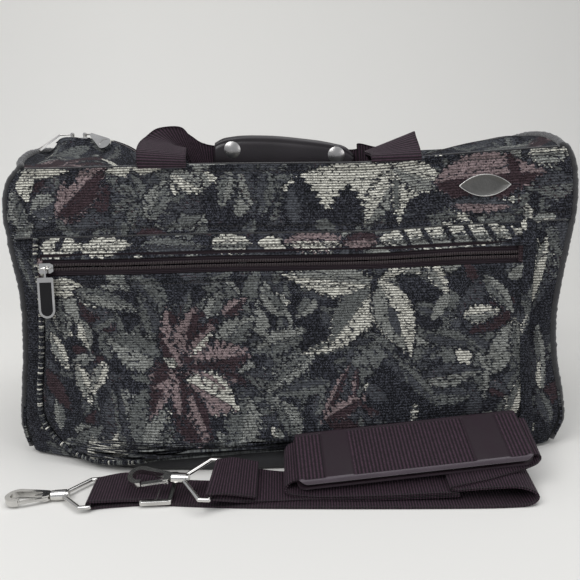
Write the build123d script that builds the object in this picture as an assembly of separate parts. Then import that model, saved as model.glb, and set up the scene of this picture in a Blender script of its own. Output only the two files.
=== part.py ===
from build123d import *
import os
from math import asin, cos, degrees, hypot, radians, sin, sqrt, tan

# A soft tapestry carpet bag: a zipped bag body with a zipped front pocket, two carrying handles with
# one snap-on grip, a ring at each end, and a shoulder strap that has been taken off and lies folded
# in front of the bag. Millimetres. X runs along the bag, -Y is its front, +Z is up, and the origin is
# the centre of the underside.

# ---- driving dimensions: the bag body ----
half_length = 256.0        # outer face of each end panel
base_half_depth = 132.0    # front and back faces at the floor
belly_half_depth = 126.0   # front and back faces at half height
belly_height = 118.0
seam_half_depth = 106.0    # front and back faces at the top seams
seam_height = 269.0        # top seams, between yoke and gusset
seam_ridge = 2.0           # the seam's edge stands up by this much
left_arch_rise = 8.0       # rounded top of each end panel, above the top seams
right_arch_rise = 12.0
ridge_height = 291.5       # gusset edges beside the zip, in the middle of the bag
zip_slope = 1.7            # degrees; the main zip falls towards the right
zip_end_x = 238.0          # beyond here the gussets close and drop to the end panels
gutter_half_length = 150.0 # the gussets sag between here, and the handles lie in the sag
gutter_depths = (84.0, 62.0, 40.0, 24.0)       # distances from the middle where a gusset bends
gutter_heights = (258.0, 250.0, 254.0, 266.0)  # its heights there, in the sag
left_shoulder_heights = (273.0, 277.0, 280.0, 284.0)   # and at the two ends of the zip
right_shoulder_heights = (265.0, 266.0, 268.0, 273.0)
wall = 2.4                 # tapestry, backing and lining together
cloth = 2.0                # unpadded tapestry: gussets and pocket
base_turn = 16.0           # height of the seam that joins the base to the sides
base_edge_radius = 1.6
yoke_height = 210.0        # seam between front panel and yoke
hem_depth = 2.2            # gusset hem turned in behind the yoke
board_thickness = 3.0
board_clearance = 3.0      # the loose base board inside, to the walls
layer_gap = 0.15           # between layers of cloth that follow the same curve
piping_size = 4.5
piping_stand = 1.0         # piping beyond the end panel's face

# ---- zips ----
zip_window = 15.0          # tape that shows between the cloth edges
tape_width = 14.0          # one tape, from the teeth to its hidden edge
tape_thickness = 0.8
coil_width = 2.6
coil_height = 1.8
coil_gap = 1.2             # between the two closed coils, for the slider's post
slide_clearance = 0.3      # all round the coils inside a slider
slider_length = 13.0
slider_plate = 1.0
slider_flange = 1.1
post_thickness = 0.6
bridge_wire = 1.4
bridge_height = 6.2        # centre of the bridge bar over the tape's face
bridge_span = 10.0         # along the pocket's zip
cross_bridge_span = 8.4    # across the main zip
eye_clearance = 0.35
eye_wall = 1.05
eye_thickness = 1.6

# ---- front pocket ----
pocket_half_length = 227.0
pocket_bottom = 9.0
pocket_corner = 55.0
pocket_gap = 8.0           # space between the front panel and the pocket's cloth
pocket_piping = 4.5
pocket_zip_height = 183.0
pocket_zip_left = -221.0   # ends of the window for the zip
pocket_zip_right = 207.0
pocket_pull_length = 45.0
pocket_pull_width = 15.0
pocket_pull_neck = 8.0     # from the bridge bar to the pull's straight top bar
pocket_pull_thickness = 2.2

# ---- main zip ----
main_slider_left_x = -225.0
slider_spacing = 13.4      # the two sliders stand nose to nose
main_tab_length = 33.0     # teardrop tab of each main pull
main_tab_width = 14.0
main_tab_root = 3.2
main_pull_thickness = 1.8
main_link_wire = 1.6       # wire between the tab and the eye
left_link_length = 13.0
left_pull_turn = 215.0     # plan direction of the pull, from +X
left_tab_droop = 33.0      # of the tab, below level
left_tab_lean = 0.0        # turn of the tab about its own length
right_link_length = 11.0
right_pull_turn = -40.0
right_tab_droop = 22.0
right_tab_lean = 42.0

# ---- badge ----
badge_length = 46.0
badge_height = 20.0
badge_thickness = 1.6
badge_x = 180.0
badge_z = 243.0
badge_seat = 0.15

# ---- handles ----
webbing = 44.0             # width of the handle webbing
webbing_thickness = 2.0
handle_left_x = -107.0     # centres of the webbing where it leaves the top seam
handle_right_x = 103.0
anchor_height = 10.0       # webbing that stands up from the seam before it folds back
handle_depth = 62.0        # the collapsed handle stands this far from the middle of the bag
handle_base = 258.0        # lower edge of the grip, in the middle of the bag
handle_slope = 4.8         # degrees; the collapsed handle falls towards the right
handle_bar_height = 24.0   # the webbing folded in half inside the grip
handle_bar_thickness = 4.4
handle_rest = 0.4          # clearance over the seam's edge
grip_lift = 1.0            # what the grip holds, above the grip's lower edge
grip_length = 133.0
grip_height = 31.0
grip_wall = 2.2
grip_clearance = 0.4
snap_radius = 8.0
snap_height = 2.6
snap_rim = 0.7
snap_spacing = 99.0
snap_drop = 12.0           # snap centre below the grip's top edge

# ---- end rings ----
ring_height = 236.0        # pivot bar of each end ring
ring_wire = 4.0
ring_radius = 18.0
tab_width = 29.0
tab_height = 32.0
tab_wall = 2.0
ring_bore_clearance = 0.1

# ---- shoulder strap ----
strap_width = 40.0
strap_thickness = 1.8
strap_loop_clearance = 0.3 # round a hook ring's bar
floor_lift = 0.2           # lowest webbing above the floor
pad_length = 196.0
pad_width = 54.0
pad_thickness = 9.0
pad_corner = 12.0
pad_centre = (105.0, -187.0, 29.5)
pad_yaw = 3.8
pad_rise = 4.1
pad_tilt = 24.0            # the pad leans towards the front
pad_slot_clearance = 0.4
adjuster_place = (-108.0, -201.0)
adjuster_wire = 3.4
adjuster_pitch = 12.0      # from its middle bar to each outer bar
adjuster_clearance = 1.2   # inside, at each edge of the webbing

# ---- snap hooks ----
hook_wire = 3.6
hook_ring_length = 24.0    # from the barrel to the bar that holds the webbing
ring_side_clearance = 1.0
ring_straight = 8.0        # straight sides beside the webbing
barrel_radius = 4.5
barrel_length = 9.0
shank_radius = 2.4
shank_clearance = 0.06
shank_head_radius = 3.6
shank_head_length = 2.0
head_clearance = 0.4
hook_collar_radius = 4.2
hook_collar_length = 3.0
hook_thickness = 5.0
hook_bow_radius = 10.0
hook_bow_inside = 5.8
hook_length = 31.0         # from the barrel to the centre of the bow
hook_throat_radius = 5.0
gate_thickness = 2.0
gate_clearance = 0.25
gate_width = 3.4
gate_pin_radius = 1.0
gate_pin_clearance = 0.05
gate_pin_x = -6.5
gate_pin_y = -3.2
left_hook_place = (-194.0, -212.0, 4.7)
left_hook_turn = 6.0
left_hook_roll = 0.0
right_hook_place = (-91.0, -211.0, 18.7)
right_hook_turn = -5.0
right_hook_roll = 15.0     # the ring leans, with its back corner up


def circle_through(a, b, c):
    """Centre and radius of the circle through three points."""
    d = 2 * (a[0] * (b[1] - c[1]) + b[0] * (c[1] - a[1]) + c[0] * (a[1] - b[1]))
    squares = [p[0] ** 2 + p[1] ** 2 for p in (a, b, c)]
    u = (squares[0] * (b[1] - c[1]) + squares[1] * (c[1] - a[1]) + squares[2] * (a[1] - b[1])) / d
    v = (squares[0] * (c[0] - b[0]) + squares[1] * (a[0] - c[0]) + squares[2] * (b[0] - a[0])) / d
    return u, v, hypot(a[0] - u, a[1] - v)


front_y, front_z, front_radius = circle_through(
    (-base_half_depth, 0), (-belly_half_depth, belly_height), (-seam_half_depth, seam_height))


def face_y(height, outward=0.0):
    """Y of the front face at a height, or of a layer that lies outward of it."""
    return front_y - sqrt((front_radius + outward) ** 2 - (height - front_z) ** 2)


def front_normal(height, outward=0.0):
    """Unit vector square to the front face at a height."""
    reach = front_radius + outward
    return (0, (face_y(height, outward) - front_y) / reach, (height - front_z) / reach)


def layer(low, high, inner, outer, left, right):
    """A strip of cloth on the front face, between two heights and two distances outward."""
    middle = (low + high) / 2
    edge = [(face_y(low, inner), low), (face_y(low, outer), low)]
    edge += [(face_y(high, outer), high), (face_y(high, inner), high)]
    outline = [Line(edge[0], edge[1]), ThreePointArc(edge[1], (face_y(middle, outer), middle), edge[2])]
    outline += [Line(edge[2], edge[3]), ThreePointArc(edge[3], (face_y(middle, inner), middle), edge[0])]
    strip = extrude(Plane.YZ * make_face(outline), right - left)
    return Pos(left, 0, 0) * strip


def to_back(shape):
    """The same piece on the back of the bag."""
    return mirror(shape, about=Plane.XZ)


def block(low, high):
    """A box from its lowest to its highest corner."""
    size = [h - l for l, h in zip(low, high)]
    middle = [(h + l) / 2 for l, h in zip(low, high)]
    return Pos(*middle) * Box(*size)


def prism_along_x(points, left, right):
    """A polygon in the YZ plane, drawn out along X."""
    return Pos(left, 0, 0) * extrude(Plane.YZ * make_face(Polyline(*points, close=True)), right - left)


inner_half = half_length - wall


# ---- bag body ----
def arch_rise(side):
    """How far an end panel's rounded top rises above the top seams."""
    return left_arch_rise if side < 0 else right_arch_rise


def arch_height(side, depth):
    """Height of an end panel's top at a distance from the middle."""
    rise = arch_rise(side)
    radius = (seam_half_depth ** 2 + rise ** 2) / (2 * rise)
    return seam_height + rise - radius + sqrt(radius ** 2 - depth ** 2)


def end_outline(side):
    """Outline of an end panel, with the rounded top."""
    half = belly_height
    seam = (seam_half_depth, seam_height)
    outline = [Line((face_y(0), 0), (-face_y(0), 0))]
    outline += [ThreePointArc((-face_y(0), 0), (-face_y(half), half), seam)]
    outline += [ThreePointArc(seam, (0, seam_height + arch_rise(side)), (-seam[0], seam[1]))]
    outline += [ThreePointArc((-seam[0], seam[1]), (face_y(half), half), (face_y(0), 0))]
    return make_face(outline)


def end_panel(side):
    """One end of the bag."""
    panel = extrude(Plane.YZ * end_outline(side), wall)
    return Pos(inner_half if side > 0 else -half_length, 0, 0) * panel


def end_piping(side):
    """Piping sewn round an end panel, from base seam to base seam."""
    outline = end_outline(side)
    ring = offset(outline, amount=piping_size) - offset(outline, amount=layer_gap)
    ring = extrude(Plane.YZ * ring, piping_size)
    outer = half_length + piping_stand
    ring = Pos(outer - piping_size if side > 0 else -outer, 0, 0) * ring
    span = 2 * half_length
    return ring - block((-span, -span, -span), (span, span, base_turn))


def base_panel():
    """The underside and the low edges that turn up from it."""
    edge = layer(0, base_turn, -wall, 0, -inner_half, inner_half)
    inside = face_y(0, -wall / 2)
    floor = block((-inner_half, inside, 0), (inner_half, -inside, wall))
    panel = floor + edge + to_back(edge)
    outer = panel.edges().filter_by(Axis.X).group_by(Axis.Z)[0].sort_by(Axis.Y)
    return fillet([outer[0], outer[-1]], base_edge_radius)


def base_board():
    """The loose stiffening board on the floor of the bag."""
    reach_y = -face_y(wall, -wall) - board_clearance
    reach_x = inner_half - board_clearance
    return block((-reach_x, -reach_y, wall), (reach_x, reach_y, wall + board_thickness))


def ridge(x):
    """Height of the gusset edges beside the zip."""
    return ridge_height - x * tan(radians(zip_slope))


def gusset_section(x, edge, top, stand, heights):
    """Outline of the front gusset at x: its edge beside the zip, its seam's stand and its heights."""
    seam_in = face_y(seam_height, -wall)
    seam_out = face_y(seam_height)
    outside = [(seam_out, seam_height), (seam_out, seam_height + stand), (seam_in + 1, seam_height + stand)]
    outside += [(-depth, height) for depth, height in zip(gutter_depths, heights)]
    outside += [(edge - cloth / 2, top), (edge, top)]
    inside = [(edge, top - cloth), (edge - cloth / 2, top - cloth)]
    inside += [(-depth, height - cloth) for depth, height in reversed(list(zip(gutter_depths, heights)))]
    inside += [(seam_in, seam_height - hem_depth), (seam_in, seam_height)]
    return Wire.make_polygon([(x, y, z) for y, z in outside + inside], close=True)


def gusset():
    """The front half of the bag's top: it sags between the handles and closes at the ends."""
    window = -zip_window / 2
    closed = -layer_gap
    sections = []
    under_piping = inner_half - (piping_size - piping_stand - wall) - 0.3
    stations = (under_piping, zip_end_x, gutter_half_length)
    for x in (-inner_half, *(-x for x in stations), *reversed(stations), inner_half):
        side = -1 if x < 0 else 1
        if abs(x) >= under_piping:
            heights = [arch_height(side, depth) for depth in gutter_depths]
            sections.append(gusset_section(x, closed, arch_height(side, 0), layer_gap / 2, heights))
        else:
            shoulders = left_shoulder_heights if side < 0 else right_shoulder_heights
            heights = shoulders if abs(x) == zip_end_x else gutter_heights
            sections.append(gusset_section(x, window, ridge(x), seam_ridge, heights))
    return Solid.make_loft(sections, ruled=True)


# ---- zips ----
def zip_tape_on_front(side):
    """One tape of the pocket's zip, behind the pocket's cloth. side is 1 above the teeth."""
    near = pocket_zip_height + side * coil_gap / 2
    far = pocket_zip_height + side * tape_width
    reach = pocket_half_length - pocket_piping
    low, high = sorted((near, far))
    return layer(low, high, pocket_gap - tape_thickness, pocket_gap, -reach + layer_gap, reach - layer_gap)


def zip_coil_on_front(side):
    """One coil of the pocket's zip."""
    near = pocket_zip_height + side * coil_gap / 2
    low, high = sorted((near, near + side * coil_width))
    return layer(low, high, pocket_gap, pocket_gap + coil_height, pocket_zip_left, pocket_zip_right)


def on_top(x):
    """Frame of the main zip at x: Y to the back, Z up, origin on the tape's face."""
    slope = radians(zip_slope)
    along, up = (cos(slope), 0, -sin(slope)), (sin(slope), 0, cos(slope))
    return Plane(origin=(x, 0, ridge(x) - cloth), x_dir=along, z_dir=up)


zip_reach = zip_end_x / cos(radians(zip_slope))


def zip_tape_on_top(side):
    """One tape of the main zip, under the gussets' edges. side is -1 at the front."""
    near, far = sorted((side * coil_gap / 2, side * (zip_window / 2 + cloth / 2)))
    return on_top(0) * block((-zip_reach, near, -tape_thickness), (zip_reach, far, 0))


def zip_coil_on_top(side):
    """One coil of the main zip."""
    near, far = sorted((side * coil_gap / 2, side * (coil_gap / 2 + coil_width)))
    return on_top(0) * block((-zip_reach, near, 0), (zip_reach, far, coil_height))


def slider(span, bridge_turn):
    """A zip slider: X along the zip, Z outward, the tape's face at Z = 0, its bridge turned in plan."""
    half = slider_length / 2
    inside = coil_gap / 2 + coil_width + slide_clearance
    reach = inside + slider_flange
    top = coil_height + slide_clearance
    under = -tape_thickness - slide_clearance
    shoulders = [(-half, -reach * 0.62), (-half * 0.55, -reach), (half, -reach)]
    shoulders += [(half, reach), (-half * 0.55, reach), (-half, reach * 0.62)]
    plate = make_face(Polyline(*shoulders, close=True))
    body = Pos(0, 0, top) * extrude(plate, slider_plate)
    body += Pos(0, 0, under - slider_plate) * extrude(plate, slider_plate)
    for side in (-1, 1):
        low, high = sorted((side * inside, side * reach))
        body += block((-half * 0.55, low, slide_clearance), (half, high, top))
    post = post_thickness / 2
    body += block((half * 0.4, -post, under), (half * 0.8, post, top))
    foot = bridge_wire / 2
    bridge = Pos(0, 0, bridge_height) * Rot(0, 90, 0) * Cylinder(foot, span - bridge_wire)
    for side in (-1, 1):
        low, high = sorted((side * (span / 2 - bridge_wire), side * span / 2))
        bridge += block((low, -foot, top), (high, foot, bridge_height + foot))
    return body + Rot(0, 0, bridge_turn) * bridge


eye_inside = bridge_wire / 2 + eye_clearance
eye_outside = eye_inside + eye_wall


def pull_eye():
    """The eye of a pull, round the bridge bar, which runs along X at the origin."""
    ring = Cylinder(eye_outside, eye_thickness) - Cylinder(eye_inside, 2 * eye_thickness)
    return Rot(0, 90, 0) * ring


def pocket_pull():
    """The pocket's pull, hanging down -Y from the bridge bar at the origin, outward +Z."""
    width = pocket_pull_width
    top = -pocket_pull_neck
    centre = -pocket_pull_length + width / 2
    half = pocket_pull_thickness / 2
    outline = [Line((-width / 2, top), (width / 2, top)), Line((width / 2, top), (width / 2, centre))]
    outline += [ThreePointArc((width / 2, centre), (0, -pocket_pull_length), (-width / 2, centre))]
    outline += [Line((-width / 2, centre), (-width / 2, top))]
    face = make_face(outline)
    tab = Pos(0, 0, -half) * extrude(face, pocket_pull_thickness)
    tab = fillet(tab.edges().filter_by(GeomType.LINE).filter_by(Axis.Z), 1.4)
    rim = 2.0
    recess = Pos(0, 0, half - 0.8) * extrude(pull_window(rim), 0.8)
    neck = block((-eye_thickness / 2, top, -eye_wall / 2), (eye_thickness / 2, -eye_inside - 0.2, eye_wall / 2))
    return tab - recess + neck + pull_eye()


def pull_window(rim):
    """Outline of the pocket pull's inlay, inside its rim."""
    width = pocket_pull_width - 2 * rim
    top = -pocket_pull_neck - 2.2 * rim
    centre = -pocket_pull_length + pocket_pull_width / 2
    outline = [Line((-width / 2, top), (width / 2, top)), Line((width / 2, top), (width / 2, centre))]
    outline += [ThreePointArc((width / 2, centre), (0, centre - width / 2), (-width / 2, centre))]
    outline += [Line((-width / 2, centre), (-width / 2, top))]
    return make_face(outline)


def pocket_inlay():
    """The inlay in the pocket pull."""
    return Pos(0, 0, pocket_pull_thickness / 2 - 0.8) * extrude(pull_window(2.0), 0.7)


def tab_outline():
    """Teardrop outline of a main pull's tab, from its root at the origin along X."""
    root, half = main_tab_root / 2, main_tab_width / 2
    centre = main_tab_length - half
    outline = [Line((0, -root), (centre, -half)), ThreePointArc((centre, -half), (main_tab_length, 0),
               (centre, half)), Line((centre, half), (0, root)), Line((0, root), (0, -root))]
    return make_face(outline)


def main_pull(x, turn, link, droop, lean):
    """A pull of the main zip at its slider: an eye round the bridge, a link, and a drooping tab."""
    bar = on_top(x).origin + on_top(x).z_dir * bridge_height
    out = Vector(cos(radians(turn)), sin(radians(turn)), 0)
    eye = Rot(90, 0, 0) * (Cylinder(eye_outside, eye_thickness) - Cylinder(eye_inside, 2 * eye_thickness))
    wire = main_link_wire / 2
    square = Vector(1 if out.X > 0 else -1, 0, 0)
    bend = square * (eye_inside + wire)
    root = out * link
    fall = out * cos(radians(droop)) - Vector(0, 0, sin(radians(droop)))
    level = Vector(0, 0, 1).cross(fall).normalized()
    face = fall.cross(level)
    normal = face * cos(radians(lean)) - level * sin(radians(lean))
    half = main_pull_thickness / 2
    tab = extrude(tab_outline(), half, both=True)
    dish = Pos(main_tab_length - main_tab_width / 2, 0, half) * Cylinder(main_tab_width / 2 - 2, 0.8)
    pull = eye + bent_wire([tuple(bend), tuple(root), tuple(root + fall * 2)], wire)
    pull += Plane(origin=root + fall * 0.5, x_dir=fall, z_dir=normal) * (tab - dish)
    return Pos(*bar) * pull


def on_pocket(x):
    """Frame of the pocket's zip at x: Y up the face, Z outward, origin on the tape's face."""
    origin = (x, face_y(pocket_zip_height, pocket_gap), pocket_zip_height)
    return Plane(origin=origin, x_dir=(1, 0, 0), z_dir=front_normal(pocket_zip_height, pocket_gap))


pocket_slider_x = pocket_zip_left + slider_length / 2 + 0.5
main_slider_right_x = main_slider_left_x + slider_spacing


# ---- front pocket ----
pocket_face = pocket_gap + layer_gap


def pocket_outline(inset, top):
    """The pocket's outline seen from the front, as a prism through the front face."""
    reach = pocket_half_length - inset
    low = pocket_bottom + inset
    corner = pocket_corner - inset
    turn = corner * (1 - sqrt(0.5))
    outline = [Line((-reach, top), (-reach, low + corner))]
    outline += [ThreePointArc((-reach, low + corner), (-reach + turn, low + turn), (-reach + corner, low))]
    outline += [Line((-reach + corner, low), (reach - corner, low))]
    outline += [ThreePointArc((reach - corner, low), (reach - turn, low + turn), (reach, low + corner))]
    outline += [Line((reach, low + corner), (reach, top)), Line((reach, top), (-reach, top))]
    depth = 2 * base_half_depth
    return extrude(Plane.XZ * make_face(outline), depth)


def pocket_binding():
    """Welted edge that joins the pocket's cloth to the front panel, down the sides and along the bottom."""
    ring = pocket_outline(0, yoke_height) - pocket_outline(pocket_piping, yoke_height + pocket_corner)
    reach = pocket_half_length
    wall_layer = layer(pocket_bottom / 2, yoke_height, layer_gap, pocket_face + cloth, -reach, reach)
    return ring & wall_layer


def pocket_cloth():
    """The pocket's whole outer cloth, with the window for its zip."""
    reach = pocket_half_length
    face = layer(pocket_bottom, yoke_height, pocket_face, pocket_face + cloth, -reach, reach)
    face = face & pocket_outline(pocket_piping, yoke_height)
    low = pocket_zip_height - zip_window / 2
    depth = 2 * base_half_depth
    return face - block((pocket_zip_left, -depth, low), (pocket_zip_right, 0, low + zip_window))


def pocket_panel():
    """The pocket's cloth below its zip."""
    span = 2 * half_length
    return pocket_cloth() & block((-span, -span, 0), (span, 0, pocket_zip_height))


def pocket_top_strip():
    """The pocket's cloth above its zip, turned in to the yoke seam."""
    span = 2 * half_length
    reach = pocket_half_length - pocket_piping
    strip = pocket_cloth() & block((-span, -span, pocket_zip_height), (span, 0, yoke_height))
    return strip + layer(yoke_height - cloth, yoke_height, layer_gap, pocket_face, -reach, reach)


# ---- badge ----
def badge():
    """A plain lens-shaped plate on the yoke."""
    half = badge_length / 2
    rise = badge_height / 2
    outline = [ThreePointArc((-half, 0), (0, rise), (half, 0)), ThreePointArc((half, 0), (0, -rise), (-half, 0))]
    plate = extrude(make_face(outline), badge_thickness)
    plate = fillet(plate.edges().group_by(Axis.Z)[-1], 0.5)
    place = Plane(origin=(badge_x, face_y(badge_z, badge_seat), badge_z), x_dir=(1, 0, 0),
                  z_dir=front_normal(badge_z))
    return place * plate


# ---- handles ----
def on_handle(side):
    """Frame of a collapsed handle: X along it, Z up, origin at its lower edge. side is -1 at the front."""
    return Pos(0, side * handle_depth, handle_base) * Rot(0, handle_slope, 0)


def handle_web():
    """The front handle's webbing as it lies collapsed, from one top-seam anchor to the other."""
    half = webbing / 2
    end = grip_length / 2
    top = grip_lift + handle_bar_height
    left = [(handle_left_x - half, 6), (handle_left_x - half + 8, 20), (-94, top + 11), (-82, top + 10)]
    left += [(-end, top)]
    right = [(end, top), (end + 14, top - 9), (end + 26, top - 13), (handle_right_x + half - 2, top + 11)]
    right += [(handle_right_x + half, 5)]
    under = [(end, grip_lift), (-end, grip_lift)]
    outline = make_face(Polyline(*left, *right, *under, close=True))
    web = on_handle(-1) * extrude(Plane.XZ * outline, handle_bar_thickness / 2, both=True)
    low = seam_height + seam_ridge + handle_rest
    seam = -seam_half_depth + 0.5
    for x in (handle_left_x, handle_right_x):
        fold = low + anchor_height
        web += block((x - half, seam, low), (x + half, seam + webbing_thickness, fold))
        web += block((x - half, seam, fold - webbing_thickness), (x + half, -handle_depth, fold))
    return web


def grip_wrap():
    """The snap-on grip: one piece of vinyl folded over the webbing, open along its lower edge."""
    half = handle_bar_thickness / 2 + grip_clearance
    outer = half + grip_wall
    top = grip_height
    section = [Line((-outer, 0), (-outer, top - outer)), ThreePointArc((-outer, top - outer), (0, top),
               (outer, top - outer)), Line((outer, top - outer), (outer, 0)), Line((outer, 0), (half, 0))]
    section += [Line((half, 0), (half, top - outer)), ThreePointArc((half, top - outer),
                (0, top - grip_wall), (-half, top - outer)), Line((-half, top - outer), (-half, 0))]
    section += [Line((-half, 0), (-outer, 0))]
    return on_handle(-1) * extrude(Plane.YZ * make_face(section), grip_length / 2, both=True)


def snap_cap(x):
    """A domed snap cap on the front of the grip."""
    face = -handle_bar_thickness / 2 - grip_clearance - grip_wall
    dome = snap_height - snap_rim
    ball = (snap_radius ** 2 + dome ** 2) / (2 * dome)
    cap = Pos(0, 0, snap_height - ball) * Sphere(ball)
    cap &= Pos(0, 0, snap_height / 2) * Cylinder(snap_radius, snap_height)
    return on_handle(-1) * Pos(x, face, grip_height - snap_drop) * Rot(90, 0, 0) * cap


# ---- end rings ----
def ring_x(side):
    """X of an end ring's pivot bar."""
    return side * (half_length + ring_wire / 2 + ring_bore_clearance + tab_wall + 0.1)


def ring_tab(side):
    """Webbing tab on an end panel, looped round the ring's straight bar."""
    bore = ring_wire / 2 + ring_bore_clearance
    loop = Rot(90, 0, 0) * (Cylinder(bore + tab_wall, tab_width) - Cylinder(bore, 2 * tab_width))
    tab = Pos(ring_x(side), 0, ring_height) * loop
    near, far = sorted((side * half_length, side * (half_length + 2 * tab_wall)))
    half = tab_width / 2
    low = ring_height + bore + 0.3
    return tab + block((near, -half, low), (far, half, ring_height + tab_height))


def end_ring(side):
    """A D ring that hangs from its tab."""
    wire = ring_wire / 2
    bar = Rot(90, 0, 0) * Cylinder(wire, 2 * ring_radius)
    bow = Rot(0, 90, 0) * Torus(ring_radius, wire)
    reach = 2 * ring_radius
    bow = bow & block((-reach, -reach, -reach), (reach, reach, 0))
    ring = bar + bow
    for end in (-1, 1):
        ring += Pos(0, end * ring_radius, 0) * Sphere(wire)
    return Pos(ring_x(side), 0, ring_height) * ring


# ---- shoulder strap ----
# The webbing's route, from the end sewn round the adjuster, through the first hook's ring and back
# along the floor, then folded up through the pad and back along the first run to the second hook.
# Each point has its place, and the turn and the tilt of the webbing's width there, in degrees.
pad_reach = pad_length / 2 + 1
route_to_first_ring = [
    (-99.0, -201.0, 5.4, 3, 0), (-108.0, -201.6, 6.8, 3, 0), (-122.0, -203.0, 7.2, 5, 0),
]
route_on_floor = [
    (-140.0, -205.0, 1.3, 6, 0), (-108.0, -203.0, 1.1, 4, 0), (-40.0, -208.0, 1.1, 0, 0),
    (60.0, -212.0, 1.1, 0, 0), (196.0, -210.0, 1.1, 0, 0), (210.0, -207.0, 4.5, 0, 0),
    (216.5, -200.0, 14.0, 0, 10), (217.5, -191.0, 26.0, 3, 20), (212.0, -183.0, 35.0, 3.8, 24),
]
route_under_pad = [
    (1.0, -193.5, 21.0, 3.8, 22), (-5.5, -195.0, 16.5, 3, 14), (-6.0, -196.5, 10.0, 2, 4),
    (1.0, -198.0, 6.2, 0, 0), (60.0, -203.0, 6.0, 0, 0), (150.0, -206.0, 9.0, 0, 0),
    (176.0, -207.0, 10.2, 0, 0), (184.0, -207.0, 7.6, 0, 0), (181.0, -207.0, 4.4, 0, 0),
    (160.0, -206.0, 3.3, 0, 0), (20.0, -202.0, 3.4, 2, 0), (-10.0, -205.0, 4.4, 4, 2),
    (-34.0, -209.5, 8.5, 1, 9),
]
sewn_end = [(-46.0, -212.2, 16.2, -1, 12), (-28.0, -208.6, 10.2, 1, 8)]


def hook_frame(place, turn, roll):
    """Frame of a snap hook: X towards the webbing, Z square to the flat hook."""
    return Plane(Pos(*place) * Rot(0, 0, turn) * Rot(roll, 0, 0))


left_hook_frame = hook_frame(left_hook_place, left_hook_turn, left_hook_roll)
right_hook_frame = hook_frame(right_hook_place, right_hook_turn, right_hook_roll)


def pad_axes():
    """Unit vectors of the pad: along it, across it and out of its top face."""
    yaw, rise, tilt = radians(pad_yaw), radians(pad_rise), radians(pad_tilt)
    along = Vector(cos(yaw) * cos(rise), sin(yaw) * cos(rise), sin(rise))
    level = Vector(-sin(yaw), cos(yaw), 0)
    across = level * cos(tilt) + along.cross(level) * sin(tilt)
    return along, across, along.cross(across)


def pad_plane():
    """Frame of the pad: X along it, Z out of its top face."""
    along, across, normal = pad_axes()
    return Plane(origin=pad_centre, x_dir=along, z_dir=normal)


def shoulder_pad():
    """The moulded pad, with the slot that the webbing runs through."""
    pad = extrude(RectangleRounded(pad_length, pad_width, pad_corner), pad_thickness / 2, both=True)
    pad = fillet(pad.edges().group_by(Axis.Z)[-1], 2.0)
    slot_width = strap_width + 2 * pad_slot_clearance
    slot = Box(2 * pad_length, slot_width, strap_thickness + 2 * pad_slot_clearance)
    return pad_plane() * (pad - slot)


def width_direction(turn, tilt):
    """Direction across the webbing, turned in plan and tilted up at the back."""
    turn, tilt = radians(turn), radians(tilt)
    return Vector(-sin(turn) * cos(tilt), cos(turn) * cos(tilt), sin(tilt))


def round_ring(frame, first, last, steps):
    """Stations of webbing that goes round a hook ring's bar, between two angles in degrees."""
    centre = frame.origin + frame.x_dir * (barrel_length + hook_ring_length)
    reach = hook_wire / 2 + strap_loop_clearance + strap_thickness / 2
    stations = []
    for step in range(steps + 1):
        angle = radians(first + (last - first) * step / steps)
        around = frame.x_dir * (reach * cos(angle)) + frame.z_dir * (reach * sin(angle))
        stations.append((centre + around, frame.y_dir))
    return stations


def strap_stations():
    """Centre of the webbing and direction across it, from one sewn end to the other."""
    def listed(points):
        return [(Vector(x, y, z), width_direction(turn, tilt)) for x, y, z, turn, tilt in points]
    along, across, normal = pad_axes()
    middle = Vector(*pad_centre)
    stations = listed(route_to_first_ring) + round_ring(left_hook_frame, 90, 270, 6)
    stations += listed(route_on_floor)
    stations += [(middle + along * pad_reach, across), (middle - along * pad_reach, across)]
    stations += listed(route_under_pad) + round_ring(right_hook_frame, 270, 90, 6)
    return stations + listed(sewn_end)


def ribbon(stations, width, thickness):
    """Webbing that follows its stations, as one solid."""
    sections = []
    for index, (centre, across) in enumerate(stations):
        before = stations[max(index - 1, 0)][0]
        after = stations[min(index + 1, len(stations) - 1)][0]
        tangent = (after - before).normalized()
        normal = tangent.cross(across).normalized()
        half, deep = across * (width / 2), normal * (thickness / 2)
        corners = [centre - half - deep, centre + half - deep, centre + half + deep, centre - half + deep]
        sections.append(Wire.make_polygon(corners, close=True))
    return Solid.make_loft(sections, ruled=True)


def strap_web():
    """The strap's webbing."""
    return ribbon(strap_stations(), strap_width, strap_thickness)


def adjuster():
    """The three-bar slide that sets the strap's length."""
    inside = strap_width + 2 * adjuster_clearance
    wire = adjuster_wire
    long, wide = 2 * adjuster_pitch, inside + wire
    frame = RectangleRounded(long + wire, wide + wire, wire)
    frame -= Pos(-adjuster_pitch / 2, 0) * Rectangle(adjuster_pitch - wire, inside)
    frame -= Pos(adjuster_pitch / 2, 0) * Rectangle(adjuster_pitch - wire, inside)
    slide = extrude(frame, wire / 2, both=True)
    slide = fillet(slide.edges().group_by(Axis.Z)[-1], 0.8)
    height = floor_lift + strap_thickness + 0.25 + wire / 2
    return Pos(adjuster_place[0], adjuster_place[1], height) * Rot(0, 0, 4) * slide


# ---- snap hooks: X from the hook's tip towards the webbing, Z square to the flat hook ----
def bent_wire(points, radius):
    """Round wire through a list of points in the XY plane, rounded at its bends."""
    wire = Pos(*points[0]) * Sphere(radius)
    for start, end in zip(points, points[1:]):
        run = Vector(*end) - Vector(*start)
        middle = (Vector(*end) + Vector(*start)) * 0.5
        wire += Plane(origin=middle, z_dir=run.normalized()) * Cylinder(radius, run.length)
        wire += Pos(*end) * Sphere(radius)
    return wire


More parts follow.
